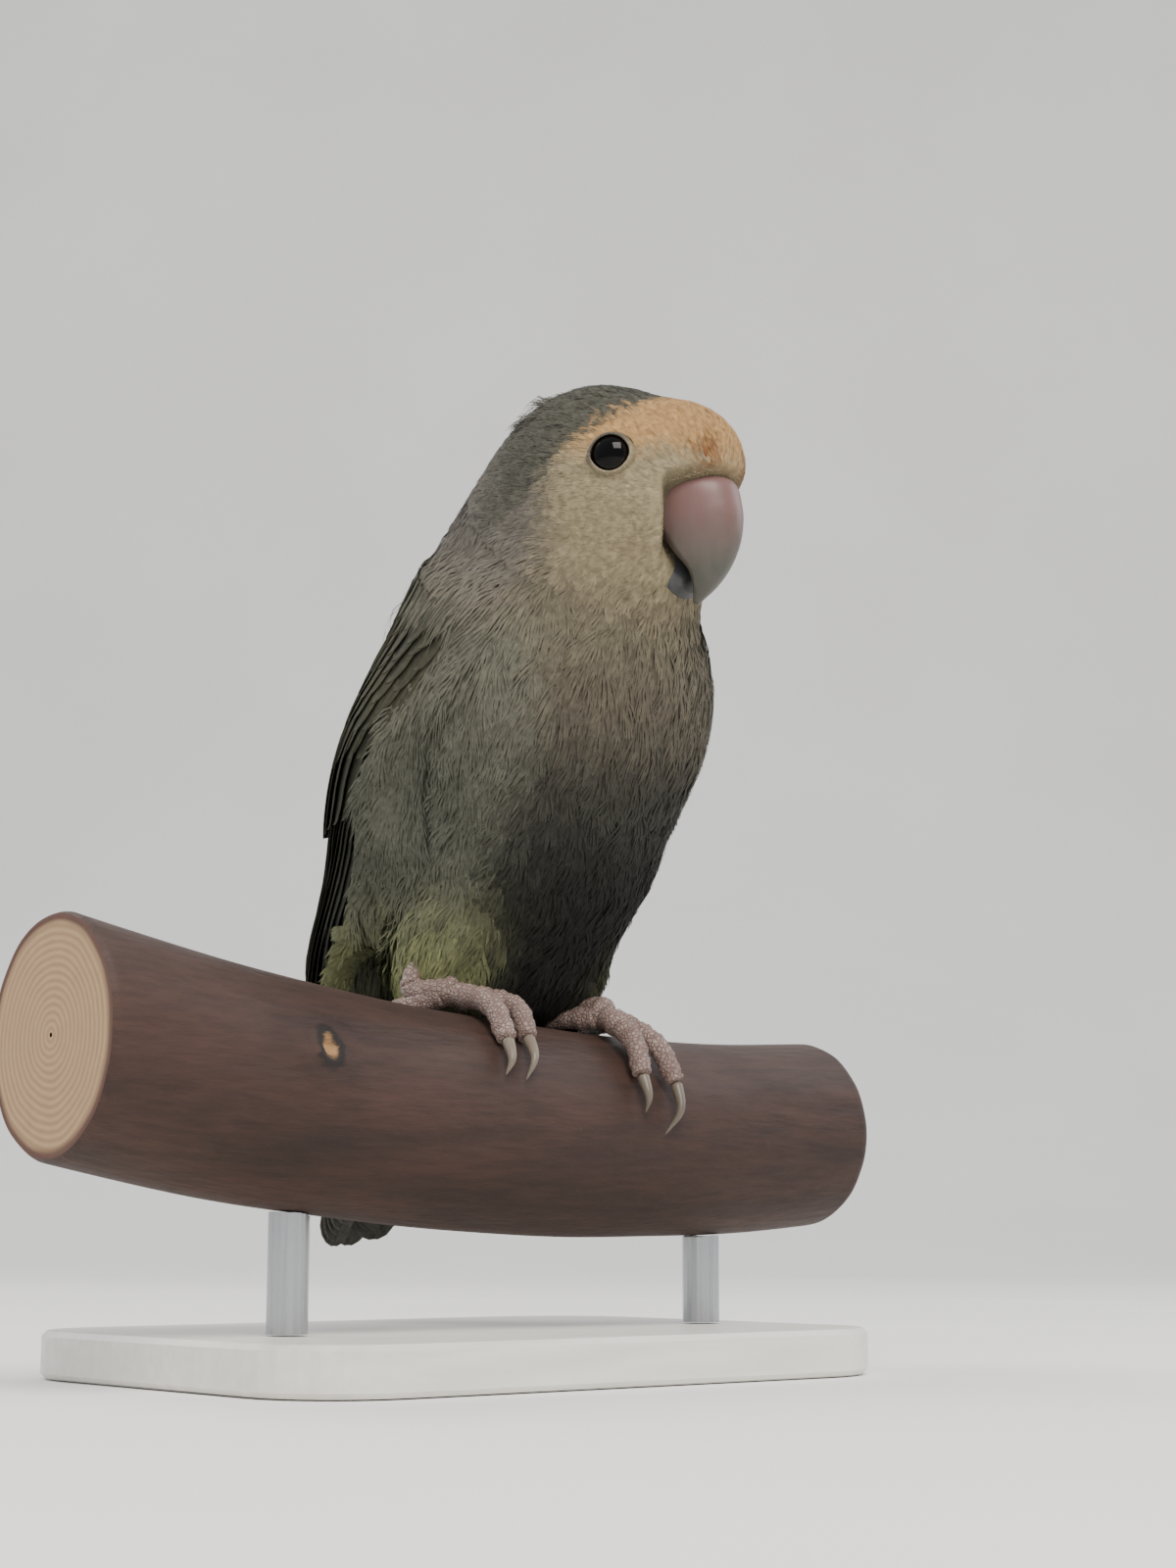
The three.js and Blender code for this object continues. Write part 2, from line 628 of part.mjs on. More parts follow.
function addLegs(bird, grownBody, bark) {
  const route = (points) => points.map(overBranch);
  for (const [name, side] of sides) {
    const { tarsus, toes, claws } = feet[name];
    const underWing = layer(wingSurface(side), { to: 0.8, top: () => -8, bottom: () => 7.6, margin: 1 });
    const thigh = ball(thighs[name]).subtract(grownBody).subtract(bark).subtract(underWing);
    const toe = (line, grow) => tube(route(line), (t) => toeRadius - 0.3 * t + grow);
    const toeSolids = (grow) => union(toes.map((line) => toe(line, grow)));
    const shank = tube(route(tarsus), () => tarsusRadius);
    const leg = shank.add(toeSolids(0)).subtract(bark);
    const foot = leg.subtract(ball(thighs[name], gap)).subtract(grownBody);
    addPart(bird, `thigh_${name}`, thigh, shade(colours.thigh, 0.9));
    addPart(bird, `foot_${name}`, foot, shade(colours.foot, 0.7));
    claws.forEach((line, i) => {
      const horn = tube(route(line), (t) => clawRadius * (1 - 0.85 * t), 6, 7);
      const claw = horn.subtract(toeSolids(gap)).subtract(bark);
      addPart(bird, `claw_${name}_${i + 1}`, claw, shade(colours.claw, 0.4));
    });
  }
}

function addStand(model, bird, bark) {
  const half = { x: base.length / 2 - base.corner, y: base.width / 2 - base.corner };
  const outline = new THREE.Shape();
  outline.absarc(half.x, half.y, base.corner, 0, Math.PI / 2);
  outline.absarc(-half.x, half.y, base.corner, Math.PI / 2, Math.PI);
  outline.absarc(-half.x, -half.y, base.corner, Math.PI, 1.5 * Math.PI);
  outline.absarc(half.x, -half.y, base.corner, 1.5 * Math.PI, 2 * Math.PI);
  const plate = new THREE.ExtrudeGeometry(outline, {
    depth: base.thickness - 2 * base.bevel,
    bevelThickness: base.bevel,
    bevelSize: base.bevel,
    bevelOffset: -base.bevel,
    bevelSegments: 1,
    curveSegments: 4,
  });
  plate.translate(base.x, base.y, base.bevel);
  addPart(model, "stand_base", toSolid(plate), shade(colours.base, 0.5));
  rods.at.forEach((x, i) => {
    const foot = base.thickness + gap - branchTop;
    const height = branchAxis(x) - foot;
    const rod = new THREE.CylinderGeometry(rods.radius, rods.radius, height, 20);
    rod.rotateX(Math.PI / 2);
    rod.translate(x, 0, foot + height / 2);
    addPart(bird, `stand_rod_${i + 1}`, toSolid(rod).subtract(bark), shade(colours.rod, 0.3, 1));
  });
}

const lovebird = new THREE.Group();
const bird = new THREE.Group();
bird.position.z = branchTop;
lovebird.add(bird);

const bark = branchSolid(gap);
const grownBody = bodySolid(gap);
addBody(bird, grownBody);
addWings(bird, grownBody);
addLegs(bird, grownBody, bark);
addPart(bird, "perch", branchSolid(), shade(colours.branch, 0.6));
addStand(lovebird, bird, bark);

export default lovebird;
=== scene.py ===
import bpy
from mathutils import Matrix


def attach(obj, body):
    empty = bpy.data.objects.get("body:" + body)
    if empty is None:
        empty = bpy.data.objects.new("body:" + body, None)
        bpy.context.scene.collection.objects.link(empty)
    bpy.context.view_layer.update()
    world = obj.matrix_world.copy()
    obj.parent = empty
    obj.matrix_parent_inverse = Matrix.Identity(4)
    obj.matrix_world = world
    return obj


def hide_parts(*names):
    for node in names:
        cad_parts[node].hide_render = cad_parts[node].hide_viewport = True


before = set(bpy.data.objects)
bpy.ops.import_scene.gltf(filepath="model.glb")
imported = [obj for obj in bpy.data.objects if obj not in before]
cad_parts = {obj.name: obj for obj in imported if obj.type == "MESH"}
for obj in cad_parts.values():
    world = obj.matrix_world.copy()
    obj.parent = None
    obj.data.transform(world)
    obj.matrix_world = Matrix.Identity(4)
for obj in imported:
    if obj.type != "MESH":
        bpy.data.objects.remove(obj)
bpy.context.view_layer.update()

import math

import bpy
import numpy as np
from mathutils import Matrix, Vector

# Lengths are in millimetres unless a note says otherwise, in the bird's own frame: -Y is the way it faces,
# +X its left, and its origin is on the branch between its feet. place() makes them metres over the floor.
millimetre = 0.001
branchTop = 52
rng = np.random.default_rng(7)

camera = {
    "at": (-251.7, -312.0, 21.5),  # over the floor
    "target": (1.48, -10.2, 90.9),
    "lens": 58.5,
    "clip": (0.01, 50),  # metres
}


def place(points):
    return (np.asarray(points, float) + [0, 0, branchTop]) * millimetre


def makeCamera():
    data = bpy.data.cameras.new("camera")
    data.lens = camera["lens"]
    data.clip_start, data.clip_end = camera["clip"]
    eye = bpy.data.objects.new("camera", data)
    bpy.context.scene.collection.objects.link(eye)
    eye.location = Vector(camera["at"]) * millimetre
    aim = Vector(camera["target"]) * millimetre - eye.location
    eye.rotation_euler = aim.to_track_quat("-Z", "Y").to_euler()
    bpy.context.scene.camera = eye


# Numbers

def smooth(x, low, high):
    t = np.clip((np.asarray(x, float) - low) / (high - low), 0, 1)
    return t * t * (3 - 2 * t)


def mixed(a, b, share):
    return a + (b - a) * share


def unit(v):
    return v / np.maximum(np.linalg.norm(v, axis=-1, keepdims=True), 1e-9)


def dot(a, b):
    return (a * b).sum(-1, keepdims=True)


def tone(code):  # a web colour as linear red, green, blue
    value = np.array([int(code[i:i + 2], 16) / 255 for i in (0, 2, 4)])
    return np.where(value <= 0.04045, value / 12.92, ((value + 0.055) / 1.055) ** 2.4)


def bell(x, width):
    return np.exp(-((x / width) ** 2))


def spokes(turn, up, side):  # directions round an axis
    return np.cos(turn)[..., None] * up + np.sin(turn)[..., None] * side


def along(points, t):  # Catmull-Rom curve through points, carried straight on past its ends
    points = np.asarray(points, float)
    padded = np.vstack([2 * points[0] - points[1], points, 2 * points[-1] - points[-2]])
    spans = len(points) - 1
    t = np.asarray(t, float) * spans
    i = np.clip(np.floor(t).astype(int), 0, spans - 1)
    f = (t - i)[..., None]
    a, b, c, d = padded[i], padded[i + 1], padded[i + 2], padded[i + 3]
    bend, twist = 2 * a - 5 * b + 4 * c - d, 3 * b - a - 3 * c + d
    return 0.5 * (2 * b + (c - a) * f + bend * f * f + twist * f ** 3)


# Meshes

def crossed(rows, columns):
    return np.meshgrid(rows, columns, indexing="ij")


def turns(number):  # angles once round, the last one left out
    return np.linspace(0, 2 * math.pi, number + 1)[:-1]


def buildMesh(name, points, faces, material, colours=None, uvs=None, extra=None):
    mesh = bpy.data.meshes.new(name)
    faces = [np.asarray(group, np.int32) for group in faces if len(group)]
    points = place(points)
    sizes = np.concatenate([np.full(len(group), group.shape[1], np.int32) for group in faces])
    corners = np.concatenate([group.ravel() for group in faces])
    mesh.vertices.add(len(points))
    mesh.vertices.foreach_set("co", points.astype(np.float32).ravel())
    mesh.loops.add(len(corners))
    mesh.loops.foreach_set("vertex_index", corners)
    mesh.polygons.add(len(sizes))
    mesh.polygons.foreach_set("loop_start", np.concatenate([[0], np.cumsum(sizes)[:-1]]).astype(np.int32))
    mesh.update(calc_edges=True)
    mesh.polygons.foreach_set("use_smooth", np.full(len(sizes), True))
    if colours is not None:
        layer = mesh.color_attributes.new("plumage", "FLOAT_COLOR", "POINT")
        opaque = np.concatenate([np.clip(colours, 0, 1), np.ones((len(points), 1))], 1)
        layer.data.foreach_set("color", opaque.astype(np.float32).ravel())
    for title, values in (uvs or {}).items():
        layer = mesh.uv_layers.new(name=title)
        layer.data.foreach_set("uv", np.asarray(values, np.float32)[corners].ravel())
    for title, values in (extra or {}).items():
        layer = mesh.attributes.new(title, "FLOAT", "POINT")
        layer.data.foreach_set("value", np.asarray(values, np.float32))
    mesh.validate()
    piece = bpy.data.objects.new(name, mesh)
    bpy.context.scene.collection.objects.link(piece)
    mesh.materials.append(material)
    return piece


def dress(piece, slot, *nodes):
    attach(piece, "root")
    if nodes:
        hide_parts(*nodes)
    return piece


def gridFaces(rows, columns, closed=False, start=0):
    i, j = crossed(np.arange(rows - 1), np.arange(columns if closed else columns - 1))
    a, b = i * columns + j, i * columns + (j + 1) % columns
    return start + np.stack([a, b, b + columns, a + columns], -1).reshape(-1, 4)


# Shaders

class Wire:  # a shader socket that Python's operators add nodes to
    def __init__(self, tree, socket):
        self.tree, self.socket = tree, socket

    def node(self, kind, settings=None, out=0, **inputs):
        made = self.tree.nodes.new(kind)
        for key, value in (settings or {}).items():
            setattr(made, key, value)
        for key, value in inputs.items():
            numbered = key[0] == "i" and key[1:].isdigit()  # i0 is the first socket
            socket = made.inputs[int(key[1:]) if numbered else key.replace("_", " ")]
            if isinstance(value, Wire):
                self.tree.links.new(value.socket, socket)
            else:
                socket.default_value = value
        return Wire(self.tree, made.outputs[out])

    def math(self, operation, a, b=0.0):
        return self.node("ShaderNodeMath", {"operation": operation}, i0=a, i1=b)

    def __add__(self, other):
        return self.math("ADD", self, other)

    def __radd__(self, other):
        return self.math("ADD", other, self)

    def __sub__(self, other):
        return self.math("SUBTRACT", self, other)

    def __rsub__(self, other):
        return self.math("SUBTRACT", other, self)

    def __mul__(self, other):
        return self.math("MULTIPLY", self, other)

    def __rmul__(self, other):
        return self.math("MULTIPLY", other, self)

    def between(self, low, high):  # 0 below low, 1 over high, smooth
        return self.node("ShaderNodeMapRange", {"interpolation_type": "SMOOTHSTEP"}, Value=self,
                         From_Min=low, From_Max=high)

    def spread(self, low, high, least, most):  # low to high becomes least to most
        return self.node("ShaderNodeMapRange", Value=self, From_Min=low, From_Max=high, To_Min=least,
                         To_Max=most)

    def grey(self):
        return self.node("ShaderNodeCombineColor", Red=self, Green=self, Blue=self)

    def mix(self, a, b):  # colour a where this is 0, b where it is 1
        return self.node("ShaderNodeMix", {"data_type": "RGBA"}, out=2, i0=self, i6=rgba(a), i7=rgba(b))

    def tint(self, colour):
        return self.node("ShaderNodeMix", {"data_type": "RGBA", "blend_type": "MULTIPLY"}, out=2, i0=1.0,
                         i6=self, i7=rgba(colour))

    def where(self):  # object coordinates, in metres
        return self.node("ShaderNodeTexCoord", out=3)

    def painted(self, name):  # a number that the mesh carries
        return self.node("ShaderNodeAttribute", {"attribute_name": name}, out=2)


def rgba(value):
    if isinstance(value, Wire):
        return value
    if isinstance(value, str):
        value = tone(value)
    return (*value, 1.0)


def newMaterial(name, **fixed):  # with its shader's constants set, and a Wire to start from
    material = bpy.data.materials.new(name)
    material.use_nodes = True
    tree = material.node_tree
    shader = tree.nodes["Principled BSDF"]
    for key, value in fixed.items():
        shader.inputs[key.replace("_", " ")].default_value = value
    return material, Wire(tree, None), shader


def feed(wire, shader, **inputs):
    for key, value in inputs.items():
        wire.tree.links.new(value.socket, shader.inputs[key.replace("_", " ")])


def noise(wire, where, scale, detail=3.0, roughness=0.5):
    return wire.node("ShaderNodeTexNoise", Vector=where, Scale=scale, Detail=detail, Roughness=roughness)


def stretch(wire, where, scale):
    return wire.node("ShaderNodeMapping", Vector=where, Scale=scale)


def bump(wire, height, strength, distance):
    return wire.node("ShaderNodeBump", Height=height, Strength=strength, Distance=distance)


# Body: blended ellipsoids (centre, radii, pitch forward, turned with the head), as in the solids

body = {
    "headYaw": 14,
    "headPivot": (0, -12, 76),
    "blend": 2.6,
    "coatDepth": 0.9,
    "forms": [
        ((0, -5, 52), (25, 23.5, 27), 22, False),
        ((0, 1.5, 34), (21, 21, 23), 20, False),
        ((-0.5, 6, 16), (10, 12, 14), 20, False),
        ((0, 12, 55), (19.5, 16, 29), 30, False),
        ((0, 29, 18), (12.5, 10.5, 22), 30, False),
        ((0, -5, 77), (16.6, 17.8, 20), 20, False),
        ((0, -15.5, 88), (14.4, 16.5, 14.3), 12, True),
        ((0, -30, 86.6), (9.8, 10.4, 10.2), 20, True),
        ((-6.5, -22, 79), (8.5, 11.5, 10), 10, True),
        ((6.5, -22, 79), (8.5, 11.5, 10), 10, True),
        ((0, -19, 70), (11, 11, 12), 20, True),
        ((-13, 6, 14.5), (7.5, 11, 14.5), 16, False),
        ((8.5, 5, 14.2), (6.7, 9.5, 13.8), 16, False),
    ],
    "spine": [(0, 16, 16), (0, 4, 38), (0, -7, 62), (3, -19, 87)],
    "tailEnd": 0.22,
    "crown": 0.24,
}


def turnMatrix(pitch, yaw=0.0):
    p, y = math.radians(pitch), math.radians(yaw)
    lean = np.array([[1, 0, 0], [0, math.cos(p), -math.sin(p)], [0, math.sin(p), math.cos(p)]])
    turn = np.array([[math.cos(y), -math.sin(y), 0], [math.sin(y), math.cos(y), 0], [0, 0, 1]])
    return turn @ lean


headTurn = turnMatrix(0, body["headYaw"])
headPivot = np.array(body["headPivot"], float)


def turnHead(points):
    return (np.asarray(points, float) - headPivot) @ headTurn.T + headPivot


def unturnHead(points):
    return (np.asarray(points, float) - headPivot) @ headTurn + headPivot


placedForms = [
    (turnHead(at) if turned else np.array(at, float), np.array(radii, float),
     turnMatrix(pitch, body["headYaw"] if turned else 0))
    for at, radii, pitch, turned in body["forms"]
]


def bodyField(points):
    distances = []
    for centre, radii, turn in placedForms:
        q = (points - centre) @ turn
        near = np.linalg.norm(q / radii, axis=-1)
        distances.append(near * (near - 1) / np.maximum(np.linalg.norm(q / radii ** 2, axis=-1), 1e-9))
    distances = np.stack(distances)
    least = distances.min(0)
    return least - body["blend"] * np.log(np.exp((least - distances) / body["blend"]).sum(0))


search = {"from": 1.25, "to": 75, "strides": 60, "halvings": 14}  # from the spine out to the skin


def leaveBody(start, direction, grow=0.0):
    near, far = np.zeros(start.shape[:-1]), np.zeros(start.shape[:-1])
    inside = np.ones(start.shape[:-1], bool)
    for stride in np.linspace(search["from"], search["to"], search["strides"]):
        outside = bodyField(start + direction * stride) >= grow
        near = np.where(inside & ~outside, stride, near)
        far = np.where(inside & outside, stride, far)
        inside &= ~outside
    for _ in range(search["halvings"]):
        middle = (near + far) / 2
        isIn = bodyField(start + direction * middle[..., None]) < grow
        near, far = np.where(isIn, middle, near), np.where(isIn, far, middle)
    return start + direction * ((near + far) / 2)[..., None]


# Skin point: t runs from the vent to the crown, phi round the spine from the front
def bodySurface(t, phi, grow):
    middle = np.clip((t - body["tailEnd"]) / (1 - body["tailEnd"] - body["crown"]), 0, 1)
    tangent = unit(along(body["spine"], middle + 0.01) - along(body["spine"], middle - 0.01))
    side = unit(np.array([1.0, 0, 0]) - tangent * tangent[..., :1])
    front = unit(np.cross(side, tangent))
    front = np.where(front[..., 1:2] > 0, -front, front)
    polar = np.where(t < body["tailEnd"], -(1 - t / body["tailEnd"]), 0)
    polar = np.where(t > 1 - body["crown"], 1 - (1 - t) / body["crown"], polar) * math.pi / 2
    phi, polar = phi[..., None], polar[..., None]
    direction = (front * np.cos(phi) + side * np.sin(phi)) * np.cos(polar) + tangent * np.sin(polar)
    return leaveBody(along(body["spine"], middle), direction, grow)


# Wing and tail: surfaces over s (root to tip) and w (upper to lower edge, or right to left)

wing = {
    "upper": [(9, 16.5, 77), (6, 35, 48.5), (3, 48, 20), (4, 60, -6)],
    "middle": [(21, 6, 69), (24.3, 22, 46), (15, 41, 20), (6.4, 58, -7)],
    "lower": [(23.5, -7, 62), (27, 9, 42), (21, 22, 22), (8, 55, -8)],
}
tail = {
    "line": [(0, 38, 18), (0, 45, 0), (0.5, 51, -17), (1, 53.5, -32.5)],
    "rootHalf": 6,
    "tipHalf": 8.7,
    "arch": 2.2,
}


def wingSurface(side):
    def point(s, w):  # a parabola through the three lines
        w = np.asarray(w, float)[..., None]
        p = (along(wing["upper"], s) * 2 * (w - 0.5) * (w - 1) + along(wing["middle"], s) * 4 * w * (1 - w)
             + along(wing["lower"], s) * 2 * w * (w - 0.5))
        return p * [side, 1, 1]
    return point


def tailSurface(s, w):
    s, u = np.asarray(s, float), 2 * np.asarray(w, float) - 1
    sag = tail["arch"] * u * u
    return along(tail["line"], s) + np.stack(
        [u * mixed(tail["rootHalf"], tail["tipHalf"], s), -sag, -0.3 * sag], -1)


def outward(point, side, s, w):
    step = 0.01
    down = point(s, w + step) - point(s, w - step)
    onward = point(s + step, w) - point(s - step, w)
    return side * unit(np.cross(down, onward))


# Plumage colours, for skin and coat alike

# The belly and lower breast colours are darker than their grey plumage: painted shade for the light falling
# from above. The throat colour holds painted shadow from under the bill.
plumage = {
    "forehead": "b28e60", "stain": "6e3d1c", "crown": "4f4e46", "cheek": "92866b", "throat": "696150",
    "nape": "67625b", "mantle": "55544a", "upperBreast": "5e594b", "breast": "554f44",
    "shadedLowerBreast": "3a3933", "belly": "22211f", "flank": "616256", "thigh": "878b5c", "rump": "555647",
}


borders = {  # where each marking begins and where it is full
    "shadedLowerBreast": (26, 42), "breast": (40, 56), "upperBreast": (54, 68),
    "flank": (12, 20), "flankTop": (64, 78), "back": (2, 14), "mantle": (20, 45),
    "neck": (62, 74), "neckNape": (-19, -8), "head": (69, 80), "headNape": (-21, -11), "cheekEnd": (-20, -10),
    "crown": (87.6, 91.8), "crownEnd": (-10, 4), "forehead": (82.5, 87), "foreheadEnd": (-24, -17),
    "stainEnd": (-34, -30),
}
neckLine = {"slope": 0.478, "y": -13}  # the neck's lower edge falls towards the back
stain = {"x": 4.6, "z": 85.6, "radius": 1.7, "share": 0.85}
thighGreen = [((-21, 11), (7, 9), 1.0), ((14, 7), (5, 7), 0.5)]  # middle and radii over x and z, and share


def overNeck(points):
    return points[..., 2] - neckLine["slope"] * (points[..., 1] - neckLine["y"])


def plumageColour(points, wobble):  # markings at body points; wobble breaks the borders between them
    p = np.asarray(points, float) + wobble
    h = unturnHead(p)
    x, y, z = np.abs(h[:, 0]), h[:, 1], h[:, 2]
    # The breast darkens downward along this height, partly its own grey and partly painted shade.
    height = p[:, 2] - 0.2 * (p[:, 1] + 10)

    def past(border, values):
        return smooth(values, *borders[border])

    flank = past("flank", np.abs(p[:, 0])) * (1 - past("flankTop", height))
    back, upward = past("back", p[:, 1] + 0.5 * (p[:, 2] - 62)), past("mantle", p[:, 2])
    neck, head = past("neck", overNeck(p)), past("head", overNeck(p))
    crown = past("crown", z + 0.85 * (y + 22)) * (1 - past("crownEnd", y))
    forehead = past("forehead", z - 0.15 * x) * (1 - past("foreheadEnd", y))
    rust = bell(np.hypot(x - stain["x"], z - stain["z"]), stain["radius"]) * (1 - past("stainEnd", y))
    green = [share * np.exp(-(((p[:, 0] - at[0]) / radii[0]) ** 2 + ((p[:, 2] - at[1]) / radii[1]) ** 2))
             for at, radii, share in thighGreen]
    layers = [
        ("shadedLowerBreast", past("shadedLowerBreast", height)), ("breast", past("breast", height)),
        ("upperBreast", past("upperBreast", height)), ("flank", 0.75 * flank),
        ("mantle", back * upward), ("rump", back * (1 - upward)), ("throat", neck * (1 - back)),
        ("nape", neck * past("neckNape", y)), ("cheek", head * (1 - past("cheekEnd", y))),
        ("nape", head * past("headNape", y)), ("forehead", head * forehead), ("crown", head * crown),
        ("stain", head * stain["share"] * rust), ("thigh", 0.8 * np.max(green, 0)),
    ]
    colour = np.tile(tone(plumage["belly"]), (len(p), 1))
    for name, share in layers:
        colour = mixed(colour, tone(plumage[name]), share[:, None])
    return colour


# Materials

def plumageMaterial(name, roughness=0.85, weft=False):
    material, wire, shader = newMaterial(name, Roughness=roughness, Specular_IOR_Level=0.15)
    fine = noise(wire, wire.where(), 900.0)
    colour = wire.node("ShaderNodeVertexColor", {"layer_name": "plumage"})
    colour = colour.tint(fine.spread(0.3, 0.7, 0.78, 1.12).grey())
    height = fine
    if weft:  # barbs across the vane
        vane = wire.node("ShaderNodeUVMap", {"uv_map": "vane"})
        height = wire.node("ShaderNodeTexWave", {"bands_direction": "Y"}, out=1, Vector=vane, Scale=14.0,
                           Distortion=0.6, Detail=1.0, Detail_Scale=3.0)
        colour = colour.tint(height.spread(0.0, 1.0, 0.82, 1.08).grey())
    feed(wire, shader, Base_Color=colour, Normal=bump(wire, height, 0.35, 0.0002))
    return material


horns = {  # each runs from tip to base between two heights over the floor, in metres
    "upperBillHorn": {"base": "6f504d", "tip": "41433a", "heights": (0.120, 0.133), "roughness": 0.38},
    "lowerBillHorn": {"base": "363b3d", "tip": "2c3031", "heights": (0.116, 0.125), "roughness": 0.5},
    "clawHorn": {"base": "7d7263", "tip": "5c5448", "heights": (0.04, 0.052), "roughness": 0.3},
}


def hornMaterial(name):
    look = horns[name]
    material, wire, shader = newMaterial(name, Specular_IOR_Level=0.3, Coat_Weight=0.05, Coat_Roughness=0.4,
                                         Subsurface_Weight=0.08, Subsurface_Scale=0.002)
    where = wire.where()
    z = wire.node("ShaderNodeSeparateXYZ", out=2, Vector=where)
    lines = noise(wire, stretch(wire, where, (700, 700, 120)), 1.0, 4.0)
    blotch = noise(wire, where, 190.0, 4.0)
    share = (z + (blotch - 0.5) * 0.006).between(*look["heights"])
    dull = lines.between(0.3, 0.7) * 0.25 + blotch.between(0.3, 0.7) * 0.2
    feed(wire, shader, Base_Color=dull.mix(share.mix(look["tip"], look["base"]), "5d5550"),
         Roughness=lines * 0.25 + (look["roughness"] - 0.1),
         Normal=bump(wire, lines + blotch * 0.6, 0.25, 0.0002))
    return material


footLook = {"seams": "6d5751", "dark": "7d6a62", "light": "95837a"}


def footMaterial():
    material, wire, shader = newMaterial("footSkin", Subsurface_Weight=0.1, Subsurface_Scale=0.001)
    where = wire.where()
    cells = wire.node("ShaderNodeTexVoronoi", {"feature": "DISTANCE_TO_EDGE"}, Vector=where, Scale=1500.0)
    blotch = noise(wire, where, 260.0, 4.0)
    scale = cells.between(0.0, 0.2)
    colour = scale.mix(footLook["seams"], blotch.between(0.35, 0.65).mix(footLook["dark"], footLook["light"]))
    feed(wire, shader, Base_Color=colour, Roughness=0.75 - scale * 0.25,
         Normal=bump(wire, scale, 0.6, 0.0003))
    return material


def eyeMaterial():
    material, wire, shader = newMaterial("eyeball", Roughness=0.06, Specular_IOR_Level=0.14)
    feed(wire, shader, Base_Color=wire.painted("pupil").between(0.5, 0.62).mix("100a07", "010101"))
    return material


# The grey laid on the branch's top is a painted sheen.
barkLook = {
    "dark": "25150f", "light": "3c251c", "patches": "412a21", "wearAndSheen": "6b625d", "cracks": "170e0b",
    "specks": "3a2822", "scarRim": "160d09", "scarDark": "6d4a2c", "scarLight": "a37c50",
}


def barkMaterial():
    material, wire, shader = newMaterial("bark", Specular_IOR_Level=0.4)
    look, where = barkLook, wire.where()
    long = noise(wire, stretch(wire, where, (30, 210, 210)), 1.0, 6.0, 0.6)
    fine = noise(wire, stretch(wire, where, (160, 900, 900)), 1.0, 5.0, 0.6)
    patch = noise(wire, stretch(wire, where, (22, 45, 45)), 1.0, 4.0)
    specks = wire.node("ShaderNodeTexVoronoi", Vector=stretch(wire, where, (260, 150, 150)), Scale=1.0)
    normal = wire.node("ShaderNodeNewGeometry", out=1)
    up = wire.node("ShaderNodeSeparateXYZ", out=2, Vector=normal)
    colour = long.between(0.25, 0.75).mix(look["dark"], look["light"])
    colour = (patch.between(0.4, 0.7) * 0.7).mix(colour, look["patches"])
    # Painted sheen: a grey tint on the patches that face up, where the light from above glances off the bark;
    # they are also made a little smoother.
    wearAndSheen = up.between(0.1, 0.9) * patch.between(0.3, 0.6)
    colour = (wearAndSheen * 0.1).mix(colour, look["wearAndSheen"])
    colour = (fine.between(0.35, 0.7) * 0.3).mix(colour, look["cracks"])
    colour = (specks.between(0.12, 0.06) * 0.35).mix(colour, look["specks"])
    scar = wire.painted("scar")
    rough = scar + (fine - 0.5) * 0.7 * scar.between(0.02, 0.2)
    bared = fine.between(0.35, 0.65).mix(look["scarDark"], look["scarLight"])
    colour = rough.between(0.15, 0.4).mix(colour, look["scarRim"])
    colour = (rough.between(0.6, 0.9) * 0.8).mix(colour, bared)
    feed(wire, shader, Base_Color=colour, Roughness=0.62 - wearAndSheen * 0.15 + fine * 0.12,
         Normal=bump(wire, long * 0.7 + fine * 0.5, 0.7, 0.0008))
    return material


def cutWoodMaterial():
    material, wire, shader = newMaterial("cutWood", Roughness=0.85)
    where, ring = wire.where(), wire.painted("ring")
    bent = ring + noise(wire, where, 60.0) * 0.12
    rings = wire.math("SINE", bent * 95.0) * 0.5 + 0.5
    cracks = noise(wire, where, 500.0, 4.0)
    colour = (rings * 0.6 + cracks * 0.4).mix("8d7154", "ab8f6c")
    feed(wire, shader, Base_Color=ring.between(0.9, 0.97).mix(colour, "54392e"),
         Normal=bump(wire, rings * 0.5 + cracks, 0.4, 0.0003))
    return material


def standMaterials():
    paint, wire, shader = newMaterial("standPaint", Coat_Weight=0.1)
    grain = noise(wire, stretch(wire, wire.where(), (40, 420, 420)), 1.0, 4.0)
    feed(wire, shader, Base_Color=grain.between(0.3, 0.7).mix("d8d5cd", "e2dfd8"),
         Roughness=0.5 + (grain - 0.5) * 0.2, Normal=bump(wire, grain, 0.15, 0.0002))
    steel, wire, shader = newMaterial("standSteel", Metallic=1.0)
    brushed = noise(wire, stretch(wire, wire.where(), (1500, 1500, 40)), 1.0, 3.0)
    feed(wire, shader, Base_Color=brushed.mix("9b9d9f", "bdbfc1"), Roughness=0.28 + (brushed - 0.5) * 0.2,
         Normal=bump(wire, brushed, 0.1, 0.0001))
    return paint, steel


# Skin

coatPlan = {
    "rows": 220,
    "columns": 220,
    "spacing": {"face": 0.4, "crown": 0.58, "body": 0.95},  # between tufts' roots
    "length": {"face": 2.4, "crown": 4.2, "body": 9.0},
    "width": {"face": 0.42, "crown": 0.7, "body": 1.3},
    "lift": {"face": 0.12, "crown": 0.18, "body": 0.19},
    "barbs": 7,
    "spans": (0.0, 0.55, 1.0),  # where a barb has edges, from root to tip
    "taper": (1.0, 1.15, 0.0),  # its width there
    "shades": ((0.62, 0.93), (0.95, 1.0), (1.12, 1.03)),  # its brightness there, on the body and on the face: painted shade at the root, where the tuft lies under others, and painted light at the tip
    "droop": 46,
    "patch": 0.003,  # a tuft's size on the map
    "perPiece": 9000,  # tufts in one piece
}


